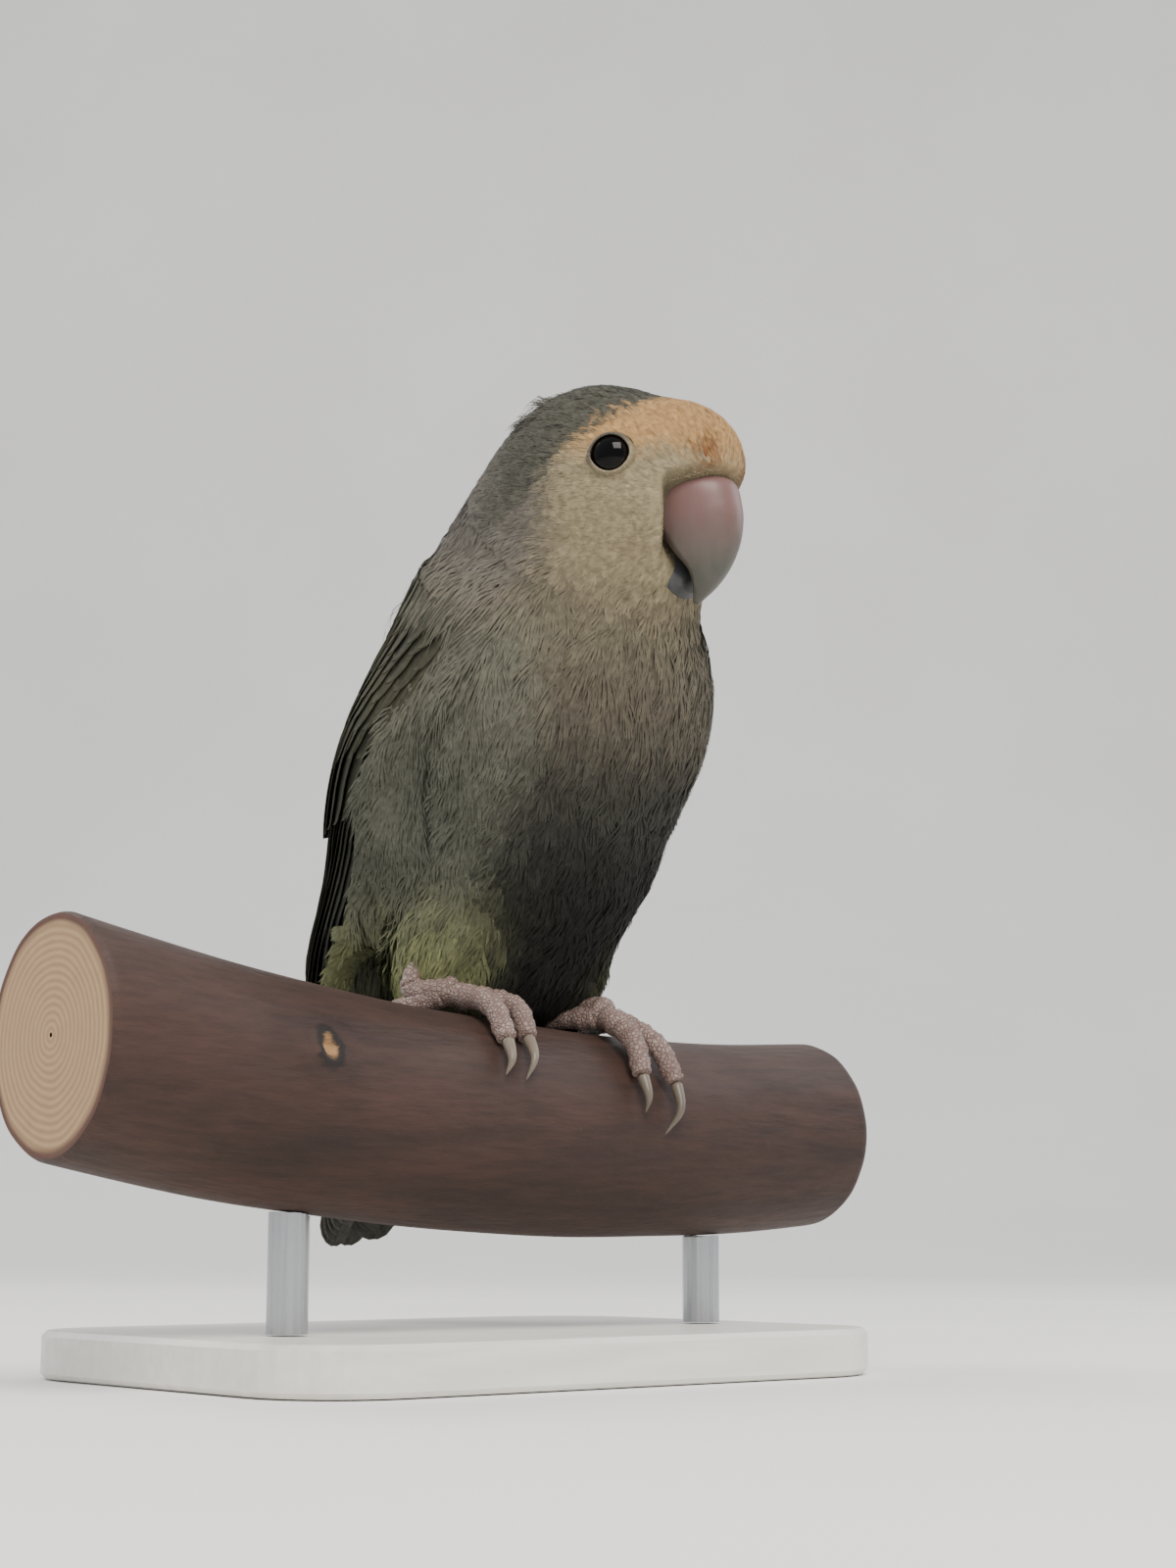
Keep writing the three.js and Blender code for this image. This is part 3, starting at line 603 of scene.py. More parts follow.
wingCovering = {
    "rows": 40, "columns": 22,  # of the points that stand for a wing
    "width": 30, "length": 90, "reach": 9, "gap": 2.2,
}
facePatch = {  # bare of coat, where the bill comes out of it
    "back": -28.8, "backLean": 0.12, "level": 83, "halfWidth": 6.6, "flare": 1.1,
    "top": 84.6, "topLean": 0.12, "front": -38, "topFall": 0.25, "fallFrom": -36.5,
    "bottom": 66, "corner": 0.9, "sunk": 3.5, "towards": (0, -24, 78),
}


# For each point: distance to the nearer wing, height over it, how far inside its rim, its s and its normal
def wingCover(points):
    plan, best = wingCovering, None
    for side in (-1, 1):
        s, w = crossed(np.linspace(0, 1, plan["rows"]), np.linspace(0, 1, plan["columns"]))
        point = wingSurface(side)
        spots, normals = point(s, w).reshape(-1, 3), outward(point, side, s, w).reshape(-1, 3)
        rim = np.minimum(np.minimum(w, 1 - w) * plan["width"], s * plan["length"]).ravel()
        nearest = np.concatenate([
            ((chunk[:, None] - spots[None]) ** 2).sum(-1).argmin(1) for chunk in np.array_split(points, 40)])
        away = np.linalg.norm(points - spots[nearest], axis=1)
        height = ((points - spots[nearest]) * normals[nearest]).sum(1)
        found = (away, height, rim[nearest], s.ravel()[nearest], normals[nearest])
        if best is None:
            best = found
        else:
            closer = away < best[0]
            best = tuple(np.where(closer[:, None] if a.ndim > 1 else closer, b, a)
                         for a, b in zip(best, found))
    return best


def billClear(points):  # how far points lie inside the bare patch
    h, patch = unturnHead(points), facePatch
    x, y, z = np.abs(h[:, 0]), h[:, 1], h[:, 2]
    beside = patch["flare"] * np.maximum(x - patch["halfWidth"], 0)
    behind = patch["back"] - patch["backLean"] * (patch["level"] - z) - beside - y
    fall = patch["topFall"] * np.maximum(y - patch["fallFrom"], 0)
    under = patch["top"] - patch["topLean"] * (y - patch["front"]) - fall - z
    corner = patch["corner"]
    inside = -corner * np.log(np.exp(-behind / corner) + np.exp(-under / corner))
    return np.minimum(inside, z - patch["bottom"])


def fieldSlope(points):
    step = 0.05
    return np.stack([(bodyField(points + step * axis) - bodyField(points - step * axis)) / (2 * step)
                     for axis in np.eye(3)], -1)


def skinGrid():  # the skin's points over t and phi, and what lies over each
    rows, columns = coatPlan["rows"], coatPlan["columns"]
    t, phi = crossed(np.linspace(0, 1, rows), np.linspace(-math.pi, math.pi, columns + 1)[:-1])
    flat = bodySurface(t.ravel(), phi.ravel(), -body["coatDepth"])
    away, height, rim, down, wingNormal = wingCover(flat)
    push = np.maximum(height + wingCovering["gap"], 0) * smooth(rim, -1, 4) * (away < wingCovering["reach"])
    clear = billClear(flat)
    sunk = facePatch["sunk"] * smooth(clear, -0.1, 1.8)
    inward = unit(turnHead(facePatch["towards"]) - flat) * sunk[:, None]
    points = flat - wingNormal * push[:, None] + inward
    values = np.column_stack([points, unit(fieldSlope(flat)), away, height, rim, down, clear])
    return t, phi, values.reshape(rows, columns, -1)


def onSkin(values, t, phi):  # the grid's values between its points
    rows, columns = values.shape[:2]
    i, j = np.clip(t, 0, 1) * (rows - 1), (phi / (2 * math.pi) + 0.5) * columns
    i0, j0 = np.minimum(i.astype(int), rows - 2), np.floor(j).astype(int)
    a, b = (i - i0)[:, None], (j - j0)[:, None]
    low = mixed(values[i0, j0 % columns], values[i0, (j0 + 1) % columns], b)
    high = mixed(values[i0 + 1, j0 % columns], values[i0 + 1, (j0 + 1) % columns], b)
    return mixed(low, high, a)


def makeSkin(material):
    t, phi, values = skinGrid()
    rows, columns = t.shape
    points, clear = values[..., :3].reshape(-1, 3), values[..., 10].ravel()
    # The poles' rows are one point each, so their faces are triangles
    faces = gridFaces(rows, columns, closed=True)
    inner = faces[columns:-columns]
    first, last = faces[:columns], faces[-columns:]
    caps = np.concatenate([
        np.stack([np.zeros(columns, int), first[:, 2], first[:, 3]], 1),
        np.stack([last[:, 0], last[:, 1], np.full(columns, rows * columns - 1)], 1)])
    uv = skinUv(t.ravel(), phi.ravel())
    # The skin is painted darker than the plumage: painted shade for the gaps between tufts, and more painted
    # shade in the recess round the bill.
    dark = mixed(0.5, 0.8, faceShare(points)) * (1 - 0.55 * smooth(clear, -0.2, 1.2))
    colours = plumageColour(points, np.zeros((len(points), 1))) * dark[:, None]
    skin = buildMesh("plumageSkin", points, [inner, caps], material, colours=colours, uvs={"OFBake": uv})
    dress(skin, "body_plumage", "head", "neck", "torso", "thigh_right", "thigh_left")
    return values


# Coat: tufts of barbs that lie along the body

def skinUv(t, phi):
    return np.stack([0.02 + 0.96 * (phi / (2 * math.pi) + 0.5), 0.02 + 0.96 * t], 1)


def headShare(points):
    return smooth(overNeck(points), 69, 78)


def faceShare(points):
    h = unturnHead(points)
    return headShare(points) * (1 - smooth(h[..., 1] + 0.25 * (h[..., 2] - 84), -27, -15))


def bySite(values, points):
    head, face = headShare(points), faceShare(points)
    return mixed(mixed(values["body"], values["crown"], head), values["face"], face)


def skinTufts(values):  # roots spread over the skin, as many for each patch as its area asks for
    points = values[..., :3]
    onward, around = points[1:] - points[:-1], (np.roll(points, -1, 1) - points)[:-1]
    area = np.linalg.norm(np.cross(onward, around), axis=-1)
    wanted = area / bySite(coatPlan["spacing"], points[:-1]) ** 2
    number = np.floor(wanted + rng.random(area.shape)).astype(int)
    i, j = (np.repeat(index.ravel(), number.ravel()) for index in np.indices(area.shape))
    t = (i + rng.random(len(i))) / (points.shape[0] - 1)
    phi = ((j + rng.random(len(i))) / points.shape[1] * 2 - 1) * math.pi
    found = onSkin(values, t, phi)
    roots, normal = found[:, :3], unit(found[:, 3:6])
    away, height, rim, down, clear = found[:, 6:].T
    underWing = ((rim > 3.5) & (away < wingCovering["reach"]) & (height > -4)) | ((rim > 11) & (away < 13))
    bare = underWing | (clear > 1.0)
    for side in (-1, 1):
        spot, _ = eyeSpot(side)
        bare |= np.linalg.norm(roots - spot, axis=1) < lidPlan["outer"] - 0.5
    downward = onSkin(values[..., :3], t - 0.006, phi) - onSkin(values[..., :3], t + 0.006, phi)
    fromBill = roots - turnHead([0, -38, 79])
    lie = mixed(unit(downward), unit(fromBill), headShare(roots)[:, None])
    fluff = (1 - smooth(away, 9, 16)) * smooth(down, 0.3, 0.42) * (1 - smooth(down, 0.75, 0.9))
    fluff = fluff * smooth(roots[:, 1], 8, 16) * smooth(roots[:, 2], 8, 16)  # under the folded wing's end
    kept = ~bare
    return roots[kept], normal[kept], lie[kept], fluff[kept], 0 * fluff[kept], skinUv(t, phi)[kept]


def ontoBody(points):
    for _ in range(4):
        slope = fieldSlope(points)
        points = points - slope * (bodyField(points)[..., None] / np.maximum(dot(slope, slope), 0.05))
    return points


saddlePlan = {
    "start": -0.17,
    "wing": {"end": 0.84, "across": (-0.04, 1.3), "tufts": 8200},
    "mantle": {"end": 0.5, "across": (-0.1, 1.1), "tufts": 2000},
}


# Surface over a wing's root, or over the mantle between the wings where side is 0, that runs onto the body
def saddle(side):
    def onWing(s, w):
        inside = np.minimum(w, 1)
        flat = wingSurface(side)
        edge = flat(s, inside)
        return edge + (edge - flat(s, inside - 0.03)) * ((w - inside) / 0.03)[..., None]

    def between(s, w):
        return mixed(wingSurface(-1)(s, 0 * w), wingSurface(1)(s, 0 * w), w[..., None])

    def point(s, w):
        flat, low = onWing if side else between, np.maximum(s, 0)
        top = flat(low, w)
        top = top + (flat(low + 0.02, w) - top) * ((s - low) / 0.02)[..., None]
        share = smooth(s, saddlePlan["start"], 0.02) * (1 - smooth(w, 1.02, 1.3))
        return mixed(ontoBody(top), top, share[..., None])
    return point


def saddleTufts():  # soft feathers that hide where each wing leaves the body
    sets = []
    for side in (-1, 0, 1):
        plan = saddlePlan["wing" if side else "mantle"]
        s = rng.uniform(saddlePlan["start"], plan["end"], plan["tufts"])
        w = rng.uniform(*plan["across"], plan["tufts"])
        if side:
            kept = s < 0.03 + 0.1 * rng.random(plan["tufts"])
            kept |= (w < 0.26 - 0.6 * s) | (w > 0.93 + 0.8 * np.clip(s, 0, 0.1))
            s, w = s[kept], w[kept]
        point, step = saddle(side), 0.012
        roots = point(s, w)
        lie = unit(point(s + step, w) - point(s - step, w))
        normal = unit(np.cross(lie, point(s, w + step) - point(s, w - step)))
        centre = np.stack([0 * s, 16 - 0.41 * roots[:, 2], roots[:, 2]], 1)
        normal = np.where(dot(normal, roots - centre) < 0, -normal, normal)
        wingward = smooth(s, -0.06, 0.05) * smooth(w, 0.05, 0.25) * (1 - smooth(w, 0.88, 1.0)) * abs(side)
        around = np.arctan2(roots[:, 0], centre[:, 1] - roots[:, 1])
        uv = skinUv(np.clip(roots[:, 2] / 99, 0, 1), around)
        sets.append((roots - normal * 0.5, normal, lie, 0 * s, wingward, uv))
    return [np.concatenate(parts) for parts in zip(*sets)]


loosePlan = {  # a few feathers stand up on the back of the crown and on the right shoulder
    "crownY": -9, "crownLength": 4, "crownTop": (93, 96),
    "shoulder": (-15, 11, 70), "shoulderRadius": 5,
    "share": 0.07,
}


def looseShare(roots):
    head = unturnHead(roots)
    crown = bell(head[:, 1] - loosePlan["crownY"], loosePlan["crownLength"])
    shoulder = bell(np.linalg.norm(roots - loosePlan["shoulder"], axis=1), loosePlan["shoulderRadius"])
    return np.maximum(crown * smooth(head[:, 2], *loosePlan["crownTop"]), shoulder)


def makeCoat(material, values):
    roots, normal, lie, fluff, wingward, uvRoot = (
        np.concatenate(pair) for pair in zip(skinTufts(values), saddleTufts()))
    count, barbs, face = len(roots), coatPlan["barbs"], faceShare(roots)
    lie = unit(lie - normal * dot(lie, normal))
    drift = 0.2 * np.sin(roots @ [0.31, 0.23, 0.4] + 2 * np.sin(roots @ [0.2, -0.35, 0.16])) * (1 - face)
    lie = unit(lie + np.cross(lie, normal) * (drift + rng.normal(0, 0.16, count))[:, None])
    across = unit(np.cross(lie, normal))
    loose = looseShare(roots) * (rng.random(count) < loosePlan["share"])
    longer = 1 + 0.3 * fluff + 0.6 * loose - 0.4 * wingward
    length = bySite(coatPlan["length"], roots) * rng.uniform(0.65, 1.2, count) * longer
    width = bySite(coatPlan["width"], roots) * rng.uniform(0.85, 1.15, count) * (1 - 0.5 * loose)
    lift = bySite(coatPlan["lift"], roots) * rng.uniform(0.4, 1.6, count)
    lift = lift + 0.7 * fluff + 0.55 * loose
    colours = plumageColour(roots, rng.normal(0, 0.7, (count, 3)))
    colours = mixed(colours, tone(wingLook["lesserEdge"]), 0.8 * wingward[:, None])
    colours = colours * rng.normal(1, 0.07, (count, 1))
    # Each tuft's barbs get painted shade towards the root and painted light at the tip.
    paintedShading = [mixed(low, high, face)[:, None] for low, high in coatPlan["shades"]]
    fan, patch = np.linspace(-1, 1, barbs), coatPlan["patch"]
    points, shades, uvs = [], [], []
    for k in range(barbs):
        reachOf = (1 - 0.3 * fan[k] ** 2) * rng.uniform(0.7, 1.12, count)
        bend = rng.normal(0, 0.22, count)
        for n, s in enumerate(coatPlan["spans"]):
            forward = length * s * reachOf
            sidewise = width * (fan[k] * math.sin(s * 1.41 + 0.12) + bend * s * s)
            rise = lift * length * s * (1 - 0.55 * s) - forward ** 2 / coatPlan["droop"]
            rise = rise - 0.12 * width * fan[k] ** 2 + 0.05 + rng.normal(0, 0.05, count) * s
            centre = roots + lie * forward[:, None] + across * sidewise[:, None] + normal * rise[:, None]
            half = width / barbs * coatPlan["taper"][n]
            for edge in (-1, 1) if n < 2 else (0,):
                points.append(centre + across * (half * edge)[:, None])
                shades.append(colours * paintedShading[n] * (1 - 0.08 * abs(fan[k])))
                uvs.append(uvRoot + [patch / 2 * fan[k], patch * (s - 0.5)])
    per = barbs * 5
    points, shades, uvs = (np.stack(parts, 1) for parts in (points, shades, uvs))
    quads = np.array([[5 * k, 5 * k + 1, 5 * k + 3, 5 * k + 2] for k in range(barbs)])
    tips = np.array([[5 * k + 2, 5 * k + 3, 5 * k + 4] for k in range(barbs)])
    pieces = np.array_split(np.argsort(roots[:, 2]), math.ceil(count / coatPlan["perPiece"]))
    for i, chosen in enumerate(pieces):
        offsets = np.arange(len(chosen))[:, None, None] * per
        piece = buildMesh(
            f"coat_{i + 1}", points[chosen].reshape(-1, 3),
            [(offsets + quads).reshape(-1, 4), (offsets + tips).reshape(-1, 3)], material,
            colours=shades[chosen].reshape(-1, 3), uvs={"OFBake": uvs[chosen].reshape(-1, 2)})
        dress(piece, "body_plumage")
    print("coat tufts:", count, "pieces:", len(pieces))


# Flight feathers and coverts: vanes on the wing's and tail's surfaces

vaneThickness = 0.12


# Points, colours and vane coordinates of one feather laid on a surface
def vaneSheet(point, side, root, tip, half, depth, tilt, shade, edge, tipShade=None, rows=13, columns=9,
              round=0.2, camber=0.3):
    q, x = crossed(1 - (1 - np.linspace(0, 1, rows)) ** 1.5, np.linspace(-1, 1, columns))
    s, w = mixed(root[0], tip[0], q), mixed(root[1], tip[1], q)
    normal = outward(point, side, s, w)
    step = 0.01
    run = unit(point(mixed(root[0], tip[0], q + step), mixed(root[1], tip[1], q + step))
               - point(mixed(root[0], tip[0], q - step), mixed(root[1], tip[1], q - step)))
    across = side * unit(np.cross(run, normal))
    fullness = 0.45 + 0.55 * smooth(q, 0, 0.3)
    end = np.sqrt(np.clip(1 - (np.clip((q - (1 - round)) / round, 0, 1) * 0.985) ** 2, 0, 1))
    spread = half * fullness * end * x
    spread = spread * (1 + 0.035 * np.sin(q * 37 + x * 3 + rng.uniform(0, 6)))
    rise = tilt * half * fullness * x - camber * x * x - np.vectorize(depth)(s)
    rise = rise + 0.12 * bell(x, 0.12) * (1 - q)
    points = point(s, w) + across * spread[..., None] + normal * rise[..., None]
    rim = smooth(np.abs(x), 0.62, 1.0)[..., None]
    colours = mixed(tone(shade), tone(edge), np.maximum(rim * 0.8, smooth(q, 0.9, 1)[..., None] * 0.8))
    if tipShade:
        colours = mixed(colours, tone(tipShade), smooth(q, 0.72, 0.97)[..., None])
    colours = colours * (1 - 0.45 * bell(x, 0.09)[..., None]) * rng.normal(1, 0.06)  # its dark shaft
    length = np.linalg.norm(points[-1, columns // 2] - points[0, columns // 2])
    vane = np.stack([x * 0.5, q * length / 12 - np.abs(x) * 0.35 + rng.uniform(0, 5)], -1)
    return points.reshape(-1, 3), colours.reshape(-1, 3), vane.reshape(-1, 2), gridFaces(rows, columns)


def joinSheets(name, sheets, material, slot, *nodes):
    points, colours, vanes = (np.concatenate([sheet[k] for sheet in sheets]) for k in range(3))
    starts = np.cumsum([0] + [len(sheet[0]) for sheet in sheets[:-1]])
    faces = np.concatenate([sheet[3] + start for sheet, start in zip(sheets, starts)])
    grid, cells = math.ceil(len(sheets) ** 0.5), []  # each feather has a cell of the map to itself
    for i, (_, _, vane, _) in enumerate(sheets):
        cell = np.array([i % grid, i // grid])
        cells.append((cell + 0.06 + 0.88 * (vane - vane.min(0)) / np.ptp(vane, 0)) / grid)
    piece = buildMesh(name, points, [faces], material, colours=colours,
                      uvs={"OFBake": np.concatenate(cells), "vane": vanes})
    thick = piece.modifiers.new("thickness", "SOLIDIFY")
    thick.thickness, thick.offset = vaneThickness * millimetre, 0
    return dress(piece, slot, *nodes)


wingLook = {
    "vane": "1d1e19", "edge": "36362c", "tip": "4d4c47", "covert": "28291f", "covertEdge": "424135",
    "lesser": "37372b", "lesserEdge": "504e40", "scapular": "504d45", "scapularEdge": "666257",
}


def flightDepth(s):
    return float(mixed(2.5, 0.7, smooth(s, 0.5, 0.72)))


wingPlan = {
    "primaries": 9, "secondaries": 9, "greaterCoverts": 11,
    # each row's start, end and number of feathers
    "lesserCoverts": [(0.13, 0.345, 12), (0.1, 0.275, 12), (0.06, 0.22, 12), (0.03, 0.165, 11),
                      (0.0, 0.115, 10), (-0.03, 0.07, 9)],
    "scapulars": [(0.16, 0.42, 4), (0.08, 0.3, 4), (0.0, 0.2, 4)],
}


def makeWing(name, side, material):
    point, look, plan = wingSurface(side), wingLook, wingPlan
    # A dark pad under the feathers closes the gaps between them; its colour, the vane's at half, is painted
    # shade for the depth under the feathers
    s, w = crossed(np.linspace(0.01, 0.62, 22), np.linspace(0.02, 0.98, 15))
    pad = point(s, w) - outward(point, side, s, w) * (2.0 + 2.2 * smooth(s, 0.2, 0.45))[..., None]
    sheets = [(pad.reshape(-1, 3), np.tile(tone(look["vane"]) * 0.5, (s.size, 1)),
               np.stack([s.ravel(), w.ravel()], 1), gridFaces(22, 15))]
    for share in np.linspace(1, 0, plan["primaries"]):  # the lowest in the fold first
        root = (0.4, mixed(0.62, 0.97, share))
        tip = (mixed(0.82, 1.0, share ** 0.75), mixed(0.12, 0.85, share))
        sheets.append(vaneSheet(
            point, side, root, tip, 3.6,
            lambda s: flightDepth(s) + share * 9 * mixed(0.05, 0.24, smooth(s, 0.5, 0.95)), 0.3,
            look["vane"], look["edge"], look["tip"], rows=19, round=0.12, camber=0.2))
    for share in np.linspace(1, 0, plan["secondaries"]):  # the tertials with them
        root, tip = (0.36, mixed(0.06, 0.6, share)), (mixed(0.68, 0.8, share), mixed(0.1, 0.5, share))
        sheets.append(vaneSheet(
            point, side, root, tip, 3.9, flightDepth, 0.3, look["vane"], look["edge"], look["edge"],
            rows=17, round=0.14, camber=0.25))
    for share in np.linspace(1, 0, plan["greaterCoverts"]):
        root = (0.22, mixed(0.04, 0.95, share))
        tip = (0.5 - 0.05 * abs(share - 0.5), mixed(0.06, 0.93, share))
        sheets.append(vaneSheet(
            point, side, root, tip, 2.9, lambda s: 0.85, 0.26, look["covert"], look["covertEdge"],
            round=0.3, camber=0.25))
    for row, (start, end, number) in enumerate(plan["lesserCoverts"]):
        for i in range(number):
            across = mixed(0.03, 0.97, 1 - (i + 0.5 * (row % 2)) / number)
            jitter = rng.normal(0, 0.008)
            sheets.append(vaneSheet(
                point, side, (start, across), (end + jitter, across), 2.35,
                lambda s, row=row: 0.5 - 0.16 * row, 0.22, look["lesser"] if row else look["covert"],
                look["lesserEdge"], rows=9, columns=7, round=0.42, camber=0.25))
    for row, (start, end, number) in enumerate(plan["scapulars"]):  # over the wing's upper edge
        for share in np.linspace(0, 1, number):
            root, tip = (start, mixed(0.24, -0.08, share)), (end - 0.03 * share, mixed(0.2, -0.04, share))
            sheets.append(vaneSheet(
                point, side, root, tip, 3.0, lambda s, row=row: -0.1 - 0.35 * row, -0.12, look["scapular"],
                look["scapularEdge"], rows=10, columns=7, round=0.45, camber=0.4))
    joinSheets(f"wingFeathers_{name}", sheets, material, "wing_feathers", f"wing_{name}")


tailLook = {"vane": "252522", "edge": "403f3b", "tip": "57554f", "covert": "414232", "covertEdge": "5a5a4a"}


tailPlan = {
    "pairs": 6,
    "coverts": [(0.02, 0.5), (-0.08, 0.38), (-0.18, 0.26)],  # each row's start and end
    "perRow": 5,
}


def makeTail(material):
    sheets, look = [], tailLook
    for side in (-1, 1):
        for i in range(tailPlan["pairs"]):
            top = side > 0 and i == 0
            centre = 0.0 if top else 0.235 + 0.018 * i
            root = (0.08, 0.5 + side * centre * 0.7)
            tip = (1 - 0.024 * i + rng.normal(0, 0.004), 0.5 + side * (centre + 0.012 * i))
            depth = 0.3 + 0.78 * (i if side > 0 else i + 1)
            sheets.append(vaneSheet(
                tailSurface, 1, root, tip, 4.1, lambda s, d=depth: d, 0.0, look["vane"], look["edge"],
                look["tip"], rows=17, round=0.1, camber=0.35))
    for over in (True, False):  # upper and under tail coverts
        for row, (start, end) in enumerate(tailPlan["coverts"]):
            for i in range(tailPlan["perRow"]):
                share = (i + 0.5) / tailPlan["perRow"]
                rise = (1.0 + 0.4 * row) if over else -(6.4 + 0.5 * row)
                tip = (end - 0.06 * abs(share - 0.5), mixed(share, 0.5, 0.1))
                sheets.append(vaneSheet(
                    tailSurface, 1, (start, share), tip, 2.8, lambda s, u=rise: -u, 0.0, look["covert"],
                    look["covertEdge"], rows=10, columns=7, round=0.4, camber=0.5 if over else -0.5))
    joinSheets("tailFeathers", sheets, material, "tail_feathers", "tail")


# Head's own parts

eyePlan = {
    "radius": 4.0, "start": (0, -20.5, 85.7), "towards": (1, -0.42, 0.01), "sunk": 2.7, "pupil": 2.2,
    "rows": 40, "columns": 56,
}
lidPlan = {
    "inner": 2.85, "outer": 3.6, "height": 0.36, "beads": 26, "beadHeight": 0.05, "drawn": 0.07,
    "rows": 13, "columns": 96,
}


def eyeSpot(side):
    start = turnHead([side * eyePlan["start"][0], *eyePlan["start"][1:]])
    towards = headTurn @ unit(np.array([side * eyePlan["towards"][0], *eyePlan["towards"][1:]]))
    return leaveBody(start[None], towards[None])[0], towards


def makeEyes(eyeShader, lidShader):
    for name, side in (("right", -1), ("left", 1)):
        spot, axis = eyeSpot(side)
        centre = spot - axis * eyePlan["sunk"]
        up = unit(np.array([0, 0, 1]) - axis * axis[2])
        forward = np.cross(up, axis)
        rows, columns = eyePlan["rows"], eyePlan["columns"]
        polar, turn = crossed(np.linspace(0, math.pi, rows), turns(columns))
        ring = np.sin(polar)[..., None] * spokes(turn, up, forward)
        ball = centre + eyePlan["radius"] * (ring + np.cos(polar)[..., None] * axis)
        pupil = (np.sin(polar) * eyePlan["radius"] < eyePlan["pupil"]).astype(float).ravel()
        eyeball = buildMesh(f"eyeball_{name}", ball.reshape(-1, 3), [gridFaces(rows, columns, True)],
                            eyeShader, extra={"pupil": pupil})
        dress(eyeball, "eye", f"eye_{name}")
        # Lids: a low rim with a beaded edge, a little drawn out towards the bill and the nape
        rows, columns = lidPlan["rows"], lidPlan["columns"]
        bow, turn = crossed(np.linspace(0, 1, rows), turns(columns))
        radius = mixed(lidPlan["inner"], lidPlan["outer"], bow) * (1 + lidPlan["drawn"] * np.sin(turn) ** 8)
        beads = lidPlan["beadHeight"] * np.sin(turn * lidPlan["beads"]) * bell(bow - 0.35, 0.2)
        rise = lidPlan["height"] * np.sin(bow * math.pi * 0.9 + 0.5) + beads + 0.35 - 0.75 * bow ** 2
        rim = spot + radius[..., None] * spokes(turn, up, forward) + rise[..., None] * axis
        lids = buildMesh(f"lids_{name}", rim.reshape(-1, 3), [gridFaces(rows, columns, True)], lidShader,
                         extra={"upper": (0.5 + 0.5 * np.cos(turn + 0.5)).ravel()})
        dress(lids, "head_plumage")


def lidMaterial():
    material, wire, shader = newMaterial("lidSkin", Roughness=0.55, Subsurface_Weight=0.1,
                                         Subsurface_Scale=0.001)
    cells = wire.node("ShaderNodeTexVoronoi", Vector=wire.where(), Scale=2200.0)
    skin = wire.painted("upper").between(0.25, 0.75).mix("8b7f62", "2f2a22")
    feed(wire, shader, Base_Color=(cells.between(0.1, 0.6) * 0.5).mix(skin, "5f5543"),
         Normal=bump(wire, cells, 0.3, 0.0002))
    return material


bill = {  # sections from base to tip: upper and lower edge in the middle as (y, z), and half the width
    "upper": [
        ((-30, 84), (-24, 79), 6.2), ((-38.2, 83.4), (-27.6, 79.8), 6.8), ((-40.3, 79), (-29.2, 76), 6.4),
        ((-40.2, 74.4), (-31.4, 72.3), 5.3), ((-38.7, 70.3), (-33.2, 69.4), 3.7),
        ((-36.2, 67), (-33.3, 66.8), 2.2), ((-32.8, 64.2), (-32.2, 64.5), 0.5)],
    "lower": [
        ((-25, 77.5), (-19, 69), 5), ((-28.6, 75), (-25.5, 68), 4.9), ((-30.6, 71.8), (-29.2, 66.8), 4),
        ((-32, 69.2), (-31.4, 67), 2.4)],
    "rows": 60,
    "arch": 33,
    "palate": 11,
    "notch": 0.18,
}


def makeBill(name, sections, palate, material, slot, node):
    t = np.linspace(0, 1, bill["rows"])
    upper = along([(0, *section[0]) for section in sections], t)
    lower = along([(0, *section[1]) for section in sections], t)
    half = np.maximum(along([(section[2], 0, 0) for section in sections], t)[:, 0], 0.25)
    turn = np.linspace(-math.pi / 2, math.pi / 2, bill["arch"])
    inner = np.linspace(0.86, -0.86, bill["palate"])
    x = np.concatenate([np.sin(turn), inner])
    rise = np.concatenate([np.cos(turn) ** 0.9, palate * (1 - inner ** 2)])
    grid = lower[:, None] + (upper - lower)[:, None] * rise[None, :, None]
    grid[..., 0] = half[:, None] * x[None]
    edge = (np.abs(x) > 0.9)[None]
    grid[..., 2] -= bill["notch"] * np.sin(np.clip((t - 0.45) / 0.3, 0, 1) * math.pi)[:, None] * edge
    grid = turnHead(grid)
    rows, columns = grid.shape[:2]
    points = np.concatenate([grid.reshape(-1, 3), grid[-1].mean(0)[None]])
    tip = np.stack([(rows - 1) * columns + np.arange(columns),
                    (rows - 1) * columns + (np.arange(columns) + 1) % columns,
                    np.full(columns, rows * columns)], 1)
    piece = buildMesh(name, points, [gridFaces(rows, columns, True), tip], material)
    return dress(piece, slot, node)


# Branch and feet

branch = {
    "from": -85, "to": 58, "lowAt": 20, "lowAxis": -15.4, "bend": 0.00103, "radius": 16.2, "taper": 0.0135,
    "rows": 260, "columns": 144,
    # each wave's height, length along the branch and count round it
    "waves": [(0.16, 17, 1), (0.12, 9, 2), (0.07, 5, 3), (0.05, 40, 7), (0.05, 23, 11), (0.04, 31, 15)],
}
knot = {"x": -50.5, "angle": 72, "width": 5, "height": 0.9}


def fromKnot(x, angle, stretched=1.0):
    return np.hypot((x - knot["x"]) * stretched, branch["radius"] * np.radians(angle - knot["angle"]))


def branchAxis(x):
    return branch["lowAxis"] + branch["bend"] * (x - branch["lowAt"]) ** 2


def branchRadius(x, angle):
    return branch["radius"] - branch["taper"] * x + knot["height"] * bell(fromKnot(x, angle), knot["width"])


def overBranch(x, angle, height=0.0):
    r, turn = branchRadius(x, angle) + height, np.radians(angle)
    return np.stack([x + 0 * r, -r * np.sin(turn), branchAxis(x) + r * np.cos(turn)], -1)


